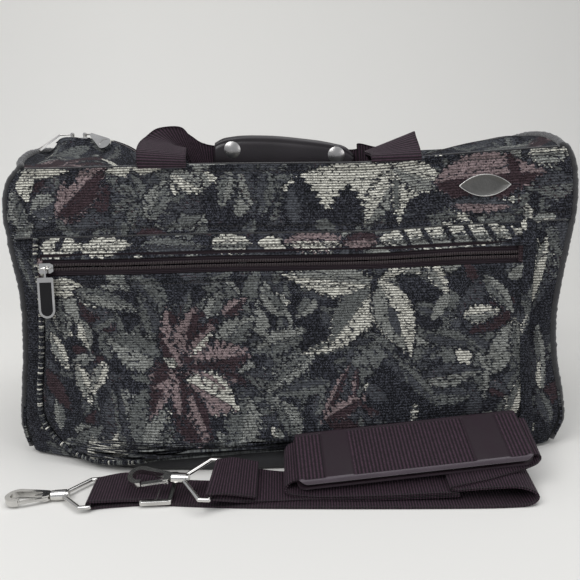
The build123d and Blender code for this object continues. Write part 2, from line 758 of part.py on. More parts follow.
def hook_ring():
    """The trapezoid ring that holds the webbing, with the barrel that the hook turns in."""
    half = hook_wire / 2
    wide = strap_width / 2 + ring_side_clearance + half
    start, end = barrel_length, barrel_length + hook_ring_length
    bend = end - ring_straight
    root = barrel_radius - half
    path = [(start - half, -root), (bend, -wide), (end, -wide), (end, wide), (bend, wide), (start - half, root)]
    ring = bent_wire(path, half)
    ring += Pos(start / 2, 0, 0) * Rot(0, 90, 0) * Cylinder(barrel_radius, start)
    ring -= Rot(0, 90, 0) * Cylinder(shank_radius + shank_clearance, 4 * start)
    room = shank_head_length + 1
    head = Rot(0, 90, 0) * Cylinder(shank_head_radius + head_clearance, room)
    return ring - Pos(start + room / 2, 0, 0) * head


def hook_loop():
    """Flat outline of the hook's bow and spine, with its mouth still closed."""
    bow = Pos(-hook_length, 0) * Circle(hook_bow_radius)
    root = Pos(-hook_collar_length - hook_throat_radius, 0) * Circle(hook_throat_radius)
    outside = make_hull(bow.edges() + root.edges())
    bow = Pos(-hook_length, 0) * Circle(hook_bow_inside)
    root = Pos(-hook_collar_length - hook_throat_radius - 4, 1.2) * Circle(1.4)
    return outside - make_hull(bow.edges() + root.edges())


gate_tip_x = -hook_length + 3.0


def hook_body():
    """The hook: shank, collar, spine and bow, with the mouth that its gate closes."""
    body = extrude(hook_loop(), hook_thickness / 2, both=True)
    reach = hook_bow_radius + 1
    body -= block((gate_tip_x, -reach, -reach), (gate_pin_x - 3.0, -1.6, reach))
    cheek = gate_thickness / 2 + gate_clearance
    body -= block((gate_tip_x, -reach, -cheek), (gate_pin_x + 2.4, 1.2, cheek))
    body -= Pos(gate_pin_x, gate_pin_y, 0) * Cylinder(gate_pin_radius + 0.02, 4 * hook_thickness)
    collar = Pos(-hook_collar_length / 2 - 0.1, 0, 0) * Rot(0, 90, 0)
    body += collar * Cylinder(hook_collar_radius, hook_collar_length)
    shank_end = barrel_length + 0.1
    shank = Rot(0, 90, 0) * Cylinder(shank_radius, shank_end + 1)
    body += Pos((shank_end - 1) / 2, 0, 0) * shank
    head = Rot(0, 90, 0) * Cylinder(shank_head_radius, shank_head_length)
    return body + Pos(shank_end + shank_head_length / 2, 0, 0) * head


def hook_gate():
    """The sprung gate, from its pin to the hook's nose."""
    nose = (gate_tip_x + gate_clearance, -hook_bow_radius + 1.4)
    length = hypot(gate_pin_x - nose[0], gate_pin_y - nose[1])
    angle = degrees(asin((gate_pin_y - nose[1]) / length))
    bar = Pos(-length / 2, 0) * Rectangle(length, gate_width)
    face = bar + Circle(gate_width / 2 + 0.1)
    gate = extrude(face, gate_thickness / 2, both=True)
    gate = Pos(gate_pin_x, gate_pin_y, 0) * Rot(0, 0, angle) * gate
    reach = gate_pin_x - gate_tip_x - gate_clearance
    pin = Pos(gate_pin_x, gate_pin_y, 0)
    gate &= pin * Cylinder(reach, 2 * gate_thickness)
    return gate - pin * Cylinder(gate_pin_radius + gate_pin_clearance, 2 * gate_thickness)


def gate_pin():
    """The pin that the gate turns on."""
    return Pos(gate_pin_x, gate_pin_y, 0) * Cylinder(gate_pin_radius, hook_thickness)


# ---- every piece, by name ----
def build():
    """Make every piece."""
    parts = {
        "base_panel": base_panel(),
        "base_board": base_board(),
        "front_panel": layer(base_turn, yoke_height, -wall, 0, -inner_half, inner_half),
        "front_yoke": layer(yoke_height, seam_height, -wall, 0, -inner_half, inner_half),
        "back_panel": to_back(layer(base_turn, seam_height, -wall, 0, -inner_half, inner_half)),
        "front_gusset": gusset(),
        "back_gusset": to_back(gusset()),
        "left_end_panel": end_panel(-1),
        "right_end_panel": end_panel(1),
        "left_piping": end_piping(-1),
        "right_piping": end_piping(1),
        "pocket_panel": pocket_panel(),
        "pocket_top_strip": pocket_top_strip(),
        "pocket_binding": pocket_binding(),
        "pocket_lower_tape": zip_tape_on_front(-1),
        "pocket_upper_tape": zip_tape_on_front(1),
        "pocket_lower_coil": zip_coil_on_front(-1),
        "pocket_upper_coil": zip_coil_on_front(1),
        "pocket_slider": on_pocket(pocket_slider_x) * Rot(0, 0, 180) * slider(bridge_span, 0),
        "pocket_pull": on_pocket(pocket_slider_x) * Pos(0, 0, bridge_height) * pocket_pull(),
        "pocket_pull_inlay": on_pocket(pocket_slider_x) * Pos(0, 0, bridge_height) * pocket_inlay(),
        "main_front_tape": zip_tape_on_top(-1),
        "main_back_tape": zip_tape_on_top(1),
        "main_front_coil": zip_coil_on_top(-1),
        "main_back_coil": zip_coil_on_top(1),
        "main_left_slider": on_top(main_slider_left_x) * slider(cross_bridge_span, 90),
        "main_right_slider": on_top(main_slider_right_x) * Rot(0, 0, 180) * slider(cross_bridge_span, 90),
        "main_left_pull": main_pull(main_slider_left_x, left_pull_turn, left_link_length, left_tab_droop,
                                    left_tab_lean),
        "main_right_pull": main_pull(main_slider_right_x, right_pull_turn, right_link_length,
                                     right_tab_droop, right_tab_lean),
        "badge_plate": badge(),
        "front_handle_web": handle_web(),
        "back_handle_web": to_back(handle_web()),
        "grip_wrap": grip_wrap(),
        "left_snap_cap": snap_cap(-snap_spacing / 2),
        "right_snap_cap": snap_cap(snap_spacing / 2),
        "left_ring_tab": ring_tab(-1),
        "right_ring_tab": ring_tab(1),
        "left_end_ring": end_ring(-1),
        "right_end_ring": end_ring(1),
        "strap_web": strap_web(),
        "strap_adjuster": adjuster(),
        "shoulder_pad": shoulder_pad(),
    }
    for side, frame in (("left", left_hook_frame), ("right", right_hook_frame)):
        parts[f"{side}_hook_ring"] = frame * hook_ring()
        parts[f"{side}_hook_body"] = frame * hook_body()
        parts[f"{side}_hook_gate"] = frame * hook_gate()
        parts[f"{side}_gate_pin"] = frame * gate_pin()
    return parts


os.makedirs("parts", exist_ok=True)
for name, shape in build().items():
    export_step(shape, f"parts/{name}.step")
    print(name, len(shape.solids()), round(shape.volume, 1))
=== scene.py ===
"""The looks of a soft tapestry carpet bag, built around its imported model.

Lengths are in millimetres until a mesh is made. X runs along the bag, -Y is its front, +Z is up.
"""
import math
from functools import partial

import bpy
import numpy as np
from mathutils import Matrix, Vector


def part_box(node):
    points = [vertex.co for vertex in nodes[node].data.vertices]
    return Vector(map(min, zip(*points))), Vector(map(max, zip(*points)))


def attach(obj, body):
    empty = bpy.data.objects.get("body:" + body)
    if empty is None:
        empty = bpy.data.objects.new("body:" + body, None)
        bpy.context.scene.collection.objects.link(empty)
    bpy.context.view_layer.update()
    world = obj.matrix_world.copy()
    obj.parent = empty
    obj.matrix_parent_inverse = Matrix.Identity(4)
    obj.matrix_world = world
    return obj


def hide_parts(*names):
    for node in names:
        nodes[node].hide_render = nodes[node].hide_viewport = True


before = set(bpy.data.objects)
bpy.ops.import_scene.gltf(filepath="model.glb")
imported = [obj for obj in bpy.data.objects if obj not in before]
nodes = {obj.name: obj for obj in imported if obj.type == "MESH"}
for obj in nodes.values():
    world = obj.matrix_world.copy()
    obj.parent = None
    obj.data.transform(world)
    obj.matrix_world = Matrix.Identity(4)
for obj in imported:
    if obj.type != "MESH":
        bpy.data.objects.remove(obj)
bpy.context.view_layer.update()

MM = 0.001
scene = bpy.context.scene


def cad(node):
    """Lowest and highest corner of a CAD node, in millimetres."""
    low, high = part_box(node)
    return np.array(low) / MM, np.array(high) / MM


# ---- camera, light and floor ----
CAMERA_PLACE = (33.2, -698.4, 287.2)
CAMERA_PITCH = 12.85       # degrees, looking down
CAMERA_YAW = 2.79          # degrees, towards -X
CAMERA_ROLL = -2.15        # degrees
CAMERA_LENS = 40.44        # on a sensor 36 wide


def make_camera():
    data = bpy.data.cameras.new("camera")
    data.lens = CAMERA_LENS
    data.sensor_width = 36.0
    data.clip_start = 0.05
    data.clip_end = 30.0
    camera = bpy.data.objects.new("camera", data)
    turn = Matrix.Rotation(math.radians(CAMERA_YAW), 4, "Z")
    turn @= Matrix.Rotation(math.radians(90 - CAMERA_PITCH), 4, "X")
    turn @= Matrix.Rotation(math.radians(CAMERA_ROLL), 4, "Z")
    camera.matrix_world = Matrix.Translation(Vector(CAMERA_PLACE) * MM) @ turn
    scene.collection.objects.link(camera)
    scene.camera = camera


def area_light(name, place, target, size, power):
    """A soft box that looks at its target; here the lengths are in metres."""
    data = bpy.data.lights.new(name, "AREA")
    data.shape = "RECTANGLE"
    data.size, data.size_y = size
    data.energy = power
    lamp = bpy.data.objects.new(name, data)
    lamp.location = place
    lamp.rotation_euler = (Vector(target) - Vector(place)).to_track_quat("-Z", "Y").to_euler()
    scene.collection.objects.link(lamp)


def make_light():
    world = bpy.data.worlds.new("studio")
    world.use_nodes = True
    background = world.node_tree.nodes["Background"]
    background.inputs["Color"].default_value = (0.93, 0.95, 1.0, 1)
    background.inputs["Strength"].default_value = 0.55
    scene.world = world
    scene.view_settings.view_transform = "Standard"
    area_light("key", (-0.9, -1.1, 1.6), (0, 0, 0.1), (1.2, 1.0), 17)
    area_light("top", (0.3, -0.1, 1.9), (0, 0, 0), (1.6, 1.2), 13)
    area_light("fill", (1.4, -1.2, 0.7), (0, 0, 0.15), (0.8, 0.8), 4)


# ---- node helpers ----
class Shader:
    """A material's node tree, with short calls for the nodes used here."""

    def __init__(self, name):
        self.material = bpy.data.materials.new(name)
        self.material.use_nodes = True
        self.tree = self.material.node_tree
        self.principled = self.tree.nodes["Principled BSDF"]

    def node(self, kind, **values):
        node = self.tree.nodes.new(kind)
        for key, value in values.items():
            setattr(node, key, value)
        return node

    def link(self, source, target):
        self.tree.links.new(source, target)

    def put(self, value, socket):
        """Link a socket, or set a plain value; a colour comes without its alpha."""
        if isinstance(value, bpy.types.NodeSocket):
            self.link(value, socket)
        elif isinstance(value, tuple):
            socket.default_value = (*value, 1)
        else:
            socket.default_value = value

    def math(self, operation, a, b=0.0, c=0.0, clamp=False):
        node = self.node("ShaderNodeMath", operation=operation, use_clamp=clamp)
        for value, socket in zip((a, b, c), node.inputs):
            self.put(value, socket)
        return node.outputs[0]

    def wave(self, value, pitch):
        """Ribs from 0 to 1, one to each pitch."""
        turns = self.math("MULTIPLY", value, 2 * math.pi / pitch)
        return self.math("MULTIPLY_ADD", self.math("COSINE", turns), 0.5, 0.5)

    def attribute(self, name):
        return self.node("ShaderNodeAttribute", attribute_name=name).outputs["Vector"]

    def split(self, vector):
        node = self.node("ShaderNodeSeparateXYZ")
        self.link(vector, node.inputs[0])
        return node.outputs

    def join(self, x, y, z=0.0):
        node = self.node("ShaderNodeCombineXYZ")
        for value, socket in zip((x, y, z), node.inputs):
            self.put(value, socket)
        return node.outputs[0]

    def object_place(self):
        """Place in the object's own frame, in millimetres."""
        node = self.node("ShaderNodeVectorMath", operation="SCALE")
        self.link(self.node("ShaderNodeTexCoord").outputs["Object"], node.inputs[0])
        node.inputs["Scale"].default_value = 1 / MM
        return node.outputs[0]

    def noise(self, vector, scale, detail=2.0, roughness=0.5):
        node = self.node("ShaderNodeTexNoise")
        self.link(vector, node.inputs["Vector"])
        node.inputs["Scale"].default_value = scale
        node.inputs["Detail"].default_value = detail
        node.inputs["Roughness"].default_value = roughness
        return node.outputs["Fac"]

    def random(self, vector):
        node = self.node("ShaderNodeTexWhiteNoise", noise_dimensions="2D")
        self.link(vector, node.inputs["Vector"])
        return node.outputs["Value"]

    def span(self, value, low, high, to_low=0.0, to_high=1.0):
        node = self.node("ShaderNodeMapRange")
        for number, key in ((low, "From Min"), (high, "From Max"), (to_low, "To Min"), (to_high, "To Max")):
            node.inputs[key].default_value = number
        self.put(value, node.inputs["Value"])
        return node.outputs["Result"]

    def mix(self, share, a, b):
        node = self.node("ShaderNodeMix", data_type="RGBA")
        for value, key in ((share, 0), (a, 6), (b, 7)):
            self.put(value, node.inputs[key])
        return node.outputs[2]

    def shade(self, colour, factor):
        """Colour times a grey factor."""
        node = self.node("ShaderNodeMix", data_type="RGBA", blend_type="MULTIPLY")
        node.inputs[0].default_value = 1.0
        self.put(colour, node.inputs[6])
        self.put(factor, node.inputs[7])
        return node.outputs[2]

    def bump(self, height, distance, strength=1.0):
        """Bump of a height from 0 to 1 that stands for distance millimetres."""
        node = self.node("ShaderNodeBump")
        node.inputs["Distance"].default_value = distance * MM
        node.inputs["Strength"].default_value = strength
        self.link(height, node.inputs["Height"])
        self.link(node.outputs[0], self.principled.inputs["Normal"])

    def surface(self, colour, **values):
        """Set the shader: colour, and its other sockets by name."""
        self.put(colour, self.principled.inputs["Base Color"])
        for key, value in values.items():
            self.put(value, self.principled.inputs[key.replace("_", " ")])
        return self.material


# ---- tapestry ----
CHARCOAL = (0.010, 0.0105, 0.013)
LAYERS = ("slate", "green", "sage", "cream", "rose", "plum")
LAYER_COLOURS = {
    "slate": (0.068, 0.072, 0.082), "green": (0.130, 0.137, 0.134), "sage": (0.26, 0.268, 0.252),
    "cream": (0.64, 0.63, 0.56), "rose": (0.240, 0.186, 0.188), "plum": (0.048, 0.032, 0.037),
}
VEIN_TONES = {
    "cream": "green", "sage": "slate", "green": "slate", "slate": "plum", "rose": "plum", "plum": "rose",
    "ground": "slate",
}
VEIN_SPACING = 7.5
RIB_PITCH = 2.3            # one weft rib
STITCH_PITCH = 0.9         # steps in a motif's edge
EDGE_JITTER = 0.7
FIELD_REACH = 9.0          # distances beyond this are cut off


def tapestry_material():
    """Jacquard cloth: motifs with stepped edges, weft ribs and flecked yarns."""
    s = Shader("tapestry")
    cloth = s.split(s.attribute("cloth"))
    u, v = cloth[0], cloth[1]
    row = s.math("FLOOR", s.math("DIVIDE", v, STITCH_PITCH))
    step = s.math("FLOOR", s.math("DIVIDE", u, 2 * STITCH_PITCH))
    jitter = s.span(s.random(s.join(row, step)), 0, 1, -EDGE_JITTER, EDGE_JITTER)
    fleck_cell = s.join(row, s.math("FLOOR", s.math("DIVIDE", u, STITCH_PITCH)))
    fleck = s.random(fleck_cell)
    place = s.join(u, v)
    patch = s.noise(place, 0.06, 3.0)
    streak = s.noise(s.join(s.math("MULTIPLY", u, 0.22), s.math("MULTIPLY", v, 0.9)), 1.0, 2.0)
    masks = {}
    for names, key in ((LAYERS[:3], "motif_a"), (LAYERS[3:], "motif_b")):
        fields = s.split(s.attribute(key))
        for layer, field in zip(names, fields):
            masks[layer] = s.math("MULTIPLY_ADD", s.math("ADD", field, jitter), 2.0, 0.5, clamp=True)
    colour = s.mix(s.span(fleck, 0.4, 1.0), CHARCOAL, tuple(c * 5 for c in CHARCOAL))
    for layer in LAYERS:
        tone = LAYER_COLOURS[layer]
        deep = tuple(c * 0.42 for c in tone)
        toned = s.mix(s.span(s.math("ADD", streak, s.math("MULTIPLY", fleck, 0.35)), 0.45, 0.8), deep, tone)
        colour = s.mix(masks[layer], colour, toned)
    rib = s.wave(v, RIB_PITCH)
    warp = s.wave(u, 2 * STITCH_PITCH)
    light = s.math("ADD", masks["cream"], s.math("MULTIPLY", masks["sage"], 0.55), clamp=True)
    gap = s.math("MULTIPLY", s.span(rib, 0.6, 0.15), s.math("MULTIPLY_ADD", light, 0.45, 0.42))
    colour = s.shade(colour, s.math("SUBTRACT", 1.1, gap))
    colour = s.shade(colour, s.span(fleck, 0, 1, 0.84, 1.16))
    colour = s.shade(colour, s.span(patch, 0.3, 0.7, 0.82, 1.15))
    height = s.math("ADD", s.math("MULTIPLY", rib, 0.8), s.math("MULTIPLY", warp, 0.2))
    height = s.math("ADD", height, s.math("MULTIPLY", fleck, 0.35))
    s.bump(height, 0.55)
    return s.surface(colour, Roughness=0.92, Sheen_Weight=0.03, Sheen_Roughness=0.5,
                     Specular_IOR_Level=0.08)


def smooth_curve(knots, at):
    """Smooth curve through (place, value) knots, as far as its ends."""
    xs, ys = (np.array(side, float) for side in zip(*knots))
    at = np.clip(np.asarray(at, float), xs[0], xs[-1])
    slopes = np.gradient(ys, xs)
    index = np.clip(np.searchsorted(xs, at, side="right") - 1, 0, len(xs) - 2)
    width = xs[index + 1] - xs[index]
    t = (at - xs[index]) / width
    a, b = ys[index], ys[index + 1]
    p, q = slopes[index] * width, slopes[index + 1] * width
    start = (2 * t**3 - 3 * t**2 + 1) * a + (t**3 - 2 * t**2 + t) * p
    return start + (3 * t**2 - 2 * t**3) * b + (t**3 - t**2) * q


class Motifs:
    """Signed distances, in millimetres, to each colour's edge; each shape covers what is under it."""

    def __init__(self, u, v):
        self.u, self.v = u, v      # the cloth's own coordinates
        self.fields = {layer: np.full(u.shape, -FIELD_REACH) for layer in LAYERS}

    def paint(self, layer, inside):
        """Give a layer the area where inside is positive."""
        inside = np.clip(inside, -FIELD_REACH, FIELD_REACH)
        for name, field in self.fields.items():
            if name == layer:
                np.maximum(field, inside, out=field)
            else:
                np.minimum(field, -inside, out=field)

    def local(self, at, angle):
        turn = math.radians(angle)
        du, dv = self.u - at[0], self.v - at[1]
        return du * math.cos(turn) + dv * math.sin(turn), dv * math.cos(turn) - du * math.sin(turn)

    def leaf(self, at, angle, length, width, layer, other=None, teeth=1.4, lobes=5.5, bend=0.0):
        """A leaf from its stalk: teeth is the depth of its ragged edge and lobes the step between them."""
        s, t = self.local(at, angle)
        t = t - bend * width * (s / length) ** 2
        share = np.clip(s / length, 0, 1)
        half = 0.5 * width * np.sin(math.pi * share ** 0.8)
        half = half + teeth * (np.mod(s / lobes + np.abs(t) / width, 1.0) - 0.5) * 2 * (half > 1)
        body = np.minimum(np.minimum(half - np.abs(t), s), length - s)
        if width > 11:
            self.paint("ground", body + 1.7)
        self.paint(layer, body)
        if other:
            self.paint(other, np.minimum(body - 1.0, -t - 0.6))
            rib = np.minimum(0.9 - np.abs(t), np.minimum(s - 0.1 * length, 0.85 * length - s))
            self.paint(other, np.minimum(rib, body))
        if width > 13:
            phase = np.mod(s - 1.5 * np.abs(t) + 1.2 * np.sin(t), VEIN_SPACING) - VEIN_SPACING / 2
            veins = np.minimum(0.55 - np.abs(phase), body - 1.6)
            self.paint(VEIN_TONES[layer], veins)
        if width > 16:
            fan = t / (0.35 + 0.9 * share)
            across = np.mod(fan + 0.8 * np.sin(s / 4), width / 2.5) - width / 5
            self.paint("ground", np.minimum(0.5 - np.abs(across), body - 2.0))

    def leaves(self, *rows):
        """Leaves listed one by one: u, v, angle, length, width, tone and what follows in leaf()."""
        for u, v, *rest in rows:
            self.leaf((u, v), *rest)

    def spray(self, at, angle, length, width, layer, other, count=5, fan=160.0):
        """Leaves that fan out from one point, the middle one longest."""
        for k in range(count):
            share = k / (count - 1) - 0.5
            size = length * (1 - 0.45 * abs(share) * 2)
            self.leaf(at, angle + fan * share, size, width, layer, other, bend=0.3 * share)

    def flower(self, at, radius, turn, petals=7):
        """A ragged bloom: plum and rose petals with cream lips."""
        for k in range(petals):
            angle = turn + 360 * k / petals
            length = radius * (0.8 + 0.25 * math.sin(2.4 * k))
            self.leaf(at, angle, length, radius * 0.62, "rose", "plum", teeth=2.2)
        for k in range(petals - 2):
            angle = turn + 30 + 360 * k / (petals - 2)
            self.leaf(at, angle, radius * 0.72, radius * 0.26, "plum", None, teeth=1.6)
        for k in range(3):
            self.leaf(at, turn + 200 + 50 * k, radius * 0.5, radius * 0.2, "cream" if k == 1 else "rose")

    def scatter(self, seed, count, box, scale=1.0):
        """Undergrowth: leaves of the quieter tones in no order."""
        rng = np.random.default_rng(seed)
        (left, right), (low, high) = box
        tones = ("slate", "slate", "green", "green", "sage", "slate", "green", "plum", "slate", "sage",
                 "cream")
        pairs = {"slate": "green", "green": "slate", "sage": "green", "plum": "slate", "cream": "sage"}
        for _ in range(count):
            at = (rng.uniform(left, right), rng.uniform(low, high))
            tone = tones[rng.integers(len(tones))]
            length = rng.uniform(30, 64) * scale
            if tone == "cream":
                length *= 0.6
            self.leaf(at, rng.uniform(0, 360), length, length * rng.uniform(0.28, 0.48), tone,
                      pairs[tone] if rng.uniform() < 0.6 else None, bend=rng.uniform(-0.4, 0.4))


# ---- mesh helpers ----
def grid_faces(rows, columns, start=0, flip=False):
    """Quads of a grid of points, row by row."""
    faces = []
    for r in range(rows - 1):
        for c in range(columns - 1):
            a = start + r * columns + c
            quad = (a, a + 1, a + columns + 1, a + columns)
            faces.append(quad[::-1] if flip else quad)
    return faces


def closed_faces(rows, columns, flip=False):
    """Faces of a closed sheet: a grid, a second one behind it and the rim between them."""
    count = rows * columns
    faces = grid_faces(rows, columns, 0, flip) + grid_faces(rows, columns, count, not flip)
    rim = [r * columns for r in range(rows)]
    rim += [(rows - 1) * columns + c for c in range(1, columns)]
    rim += [r * columns + columns - 1 for r in range(rows - 2, -1, -1)]
    rim += list(range(columns - 2, 0, -1))
    for a, b in zip(rim, rim[1:] + rim[:1]):
        faces.append((a, b, b + count, a + count) if flip else (b, a, a + count, b + count))
    return faces


def add_bar(points, faces, rings):
    """Add a closed bar, given as rings of equally many points."""
    start, around = len(points), len(rings[0])
    for ring in rings:
        points.extend(ring)
    last = start + (len(rings) - 1) * around
    for first in range(start, last, around):
        for k in range(around):
            a, b = first + k, first + (k + 1) % around
            faces.append((a, b, b + around, a + around))
    faces.append(tuple(range(start, start + around))[::-1])
    faces.append(tuple(range(last, last + around)))


def run_along(path):
    """Length from a path's start to each of its points."""
    return np.concatenate([[0], np.cumsum(np.linalg.norm(np.diff(path, axis=0), axis=1))])


def make_object(name, points, faces, material, body="bag", slot=None, replaces=()):
    """A smooth mesh object from points in millimetres, riding on its body."""
    mesh = bpy.data.meshes.new(name)
    mesh.from_pydata((np.asarray(points, float) * MM).tolist(), [], faces)
    mesh.polygons.foreach_set("use_smooth", [True] * len(mesh.polygons))
    mesh.materials.append(material)
    mesh.update()
    thing = bpy.data.objects.new(name, mesh)
    scene.collection.objects.link(thing)
    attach(thing, body)
    if replaces:
        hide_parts(*replaces)
    return thing


def set_vectors(thing, name, values):
    attribute = thing.data.attributes.new(name, "FLOAT_VECTOR", "POINT")
    attribute.data.foreach_set("vector", np.asarray(values, np.float32).ravel())


def dress(thing, cloth, motifs=None):
    """Store the cloth's own coordinates and its motifs on a mesh."""
    set_vectors(thing, "cloth", cloth)
    fields = motifs.fields if motifs else {layer: np.full(len(cloth), -FIELD_REACH) for layer in LAYERS}
    set_vectors(thing, "motif_a", np.stack([fields[k].ravel() for k in LAYERS[:3]], -1))
    set_vectors(thing, "motif_b", np.stack([fields[k].ravel() for k in LAYERS[3:]], -1))


def grid_normals(points):
    """Unit normals of a grid of points, on the side that (along row) x (down rows) gives."""
    along = np.gradient(points, axis=1)
    down = np.gradient(points, axis=0)
    normal = np.cross(along, down)
    return normal / np.maximum(np.linalg.norm(normal, axis=2, keepdims=True), 1e-9)


def sheet_mesh(points, thickness):
    """A closed sheet: the grid's own face and one that lies thickness behind it."""
    rows, columns = points.shape[:2]
    back = points - grid_normals(points) * thickness
    both = np.concatenate([points.reshape(-1, 3), back.reshape(-1, 3)])
    return both, closed_faces(rows, columns, flip=True)


def cloth_sheet(name, points, u, v, thickness, material, motifs=None, **keys):
    """A panel of cloth; u and v are its own coordinates at each grid point."""
    both, faces = sheet_mesh(points, thickness)
    thing = make_object(name, both, faces, material, **keys)
    flat = np.concatenate([np.stack([u, v], -1).reshape(-1, 2)] * 2)
    if motifs:
        motifs.fields = {k: np.concatenate([f.ravel()] * 2) for k, f in motifs.fields.items()}
    dress(thing, np.column_stack([flat, np.zeros(len(flat))]), motifs)


def frames_along(path, up):
    """Side and normal at each point of a path; up is the wanted normal."""
    tangent = np.gradient(path, axis=0)
    tangent /= np.linalg.norm(tangent, axis=1, keepdims=True)
    side = np.cross(up, tangent)
    side /= np.maximum(np.linalg.norm(side, axis=1, keepdims=True), 1e-9)
    return side, np.cross(tangent, side)


def tube(name, path, radius, material, up, around=12, motif_seed=None, **keys):
    """Round piping along a path, with closed ends."""
    path = np.asarray(path, float)
    up = np.broadcast_to(np.asarray(up, float), path.shape)
    side, normal = frames_along(path, up)
    angles = np.linspace(0, 2 * math.pi, around, endpoint=False)
    ring = side[:, None] * np.cos(angles)[None, :, None] * radius
    ring = ring + normal[:, None] * np.sin(angles)[None, :, None] * radius
    points, faces = [], []
    add_bar(points, faces, path[:, None] + ring)
    thing = make_object(name, points, faces, material, **keys)
    run = run_along(path)
    u = np.repeat(angles[None, :] * radius, len(path), 0)
    v = np.repeat(run[:, None], around, 1)
    motifs = None
    if motif_seed is not None:
        motifs = Motifs(u.ravel(), v.ravel())
        rng = np.random.default_rng(motif_seed)
        for k in range(int(run[-1] / 5)):
            tone = ("cream", "cream", "sage", "green")[rng.integers(4)]
            motifs.leaf((7, 5 * k + rng.uniform(0, 2)), 90, rng.uniform(1.6, 3.6), 60, tone, teeth=0)
    dress(thing, np.column_stack([u.ravel(), v.ravel(), np.zeros(u.size)]), motifs)


def evenly(path, spacing):
    """Points along a polyline at an even spacing."""
    path = np.asarray(path, float)
    run = run_along(path)
    count = max(2, int(round(run[-1] / spacing)) + 1)
    at = np.linspace(0, run[-1], count)
    return np.stack([np.interp(at, run, path[:, k]) for k in range(3)], -1)


def spline(points, per=8):
    """Catmull-Rom curve through points of any width."""
    points = np.asarray(points, float)
    padded = np.concatenate([2 * points[:1] - points[1:2], points, 2 * points[-1:] - points[-2:-1]])
    out = []
    for i in range(1, len(padded) - 2):
        p0, p1, p2, p3 = padded[i - 1:i + 3]
        for t in np.linspace(0, 1, per, endpoint=False):
            out.append(0.5 * (2 * p1 + (p2 - p0) * t + (2 * p0 - 5 * p1 + 4 * p2 - p3) * t * t
                              + (3 * p1 - p0 - 3 * p2 + p3) * t ** 3))
    out.append(points[-1])
    return np.array(out)


# ---- plain materials ----
WEBBING_RIB = 2.3
TAPE_RIB = 1.5


def webbing_material():
    """Woven webbing: ribs across its width; cloth's u runs along it and v across."""
    s = Shader("plum_webbing")
    cloth = s.split(s.attribute("cloth"))
    rib = s.wave(cloth[0], WEBBING_RIB)
    half_rib = s.math("FLOOR", s.math("DIVIDE", cloth[0], WEBBING_RIB / 2))
    yarn = s.random(s.join(half_rib, s.math("FLOOR", cloth[1])))
    # Rib crests painted lighter and the grooves darker: painted highlight and painted shade on the one plum
    # yarn.
    colour = s.mix(s.span(rib, 0.1, 0.9), (0.0045, 0.0022, 0.0038), (0.040, 0.0195, 0.032))
    colour = s.shade(colour, s.span(yarn, 0, 1, 0.7, 1.3))
    s.bump(s.math("ADD", rib, s.math("MULTIPLY", yarn, 0.3)), 0.5)
    return s.surface(colour, Roughness=0.72, Sheen_Weight=0.04, Specular_IOR_Level=0.25)


def plain_material(name, colour, roughness, metallic=0.0, grain=0.0, grain_size=0.4, sheen=0.0,
                   specular=0.5):
    """One colour with a little unevenness; grain is the depth of its surface, in millimetres."""
    s = Shader(name)
    place = s.object_place()
    blotch = s.noise(place, 0.05, 3.0)
    shade = s.shade(colour, s.span(blotch, 0.3, 0.7, 0.85, 1.12))
    if grain:
        s.bump(s.noise(place, grain_size, 2.0), grain)
    rough = s.span(blotch, 0.3, 0.7, roughness * 0.85, min(1.0, roughness * 1.15))
    return s.surface(shade, Roughness=rough, Metallic=metallic, Sheen_Weight=sheen,
                     Specular_IOR_Level=specular)


def zip_tape_material():
    """Woven tape: fine ribs along the zip; cloth's v runs across it."""
    s = Shader("plum_zip_tape")
    cloth = s.split(s.attribute("cloth"))
    rib = s.wave(cloth[1], TAPE_RIB)
    s.bump(rib, 0.25)
    # Rib crests painted lighter and the grooves darker: painted highlight and painted shade on the one plum
    # yarn.
    colour = s.mix(rib, (0.006, 0.0035, 0.005), (0.020, 0.012, 0.017))
    return s.surface(colour, Roughness=0.75, Specular_IOR_Level=0.2)


tapestry = tapestry_material()
webbing = webbing_material()
tape_cloth = zip_tape_material()
vinyl = plain_material("plum_vinyl", (0.011, 0.0075, 0.010), 0.36, grain=0.12, grain_size=0.9)
nickel = plain_material("polished_nickel", (0.60, 0.59, 0.57), 0.16, metallic=1.0, grain=0.02,
                        grain_size=0.3)
satin = plain_material("satin_nickel", (0.42, 0.41, 0.40), 0.30, metallic=1.0, grain=0.05,
                       grain_size=0.6)
badge_metal = plain_material("badge_metal", (0.115, 0.113, 0.108), 0.42, metallic=1.0, grain=0.25,
                             grain_size=0.5)
rubber = plain_material("plum_rubber", (0.0165, 0.0085, 0.0135), 0.55, specular=0.22, grain=0.05,
                        grain_size=1.2)
# Painted highlight: a lighter plum rubber for the pad's front rim, which faces the light.
pad_rim_highlight = plain_material("pad_rim_highlight", (0.050, 0.036, 0.047), 0.42, grain=0.05, grain_size=1.2)
coil = plain_material("plum_coil", (0.042, 0.030, 0.032), 0.36)
inlay = plain_material("black_inlay", (0.004, 0.004, 0.005), 0.4, specular=0.25)
base_cloth = plain_material("base_vinyl", (0.020, 0.020, 0.022), 0.55, grain=0.15, grain_size=0.8)
board = plain_material("base_board", (0.12, 0.10, 0.08), 0.8)
piping = plain_material("dark_binding", (0.020, 0.020, 0.022), 0.9, grain=0.6, grain_size=1.6,
                        sheen=0.4)
thread = plain_material("dark_thread", (0.030, 0.028, 0.030), 0.7)

make_camera()
make_light()

# ---- the bag's soft shape ----
SEAM = 269.0               # height of the top seams in the model
TOP_REACH = 106.0          # from the zip to the top seams
# Curves through (place, value) knots. The next three give places in X or Y over the height.
LEFT_EDGE = [(0, -251), (30, -256), (60, -252), (107, -245), (159, -244), (201, -251),
             (238, -254), (254, -251), (265, -244), (272, -236)]
RIGHT_EDGE = [(0, 243), (29, 253), (46, 251), (87, 243), (119, 241), (164, 247), (188, 252),
              (219, 258), (240, 258.5), (262, 255), (274, 248)]
FACE_DEPTH = [(0, 132), (60, 129.7), (118, 126), (185, 118.8), (210, 115.5), (245, 110),
              (269, 106), (290, 102)]
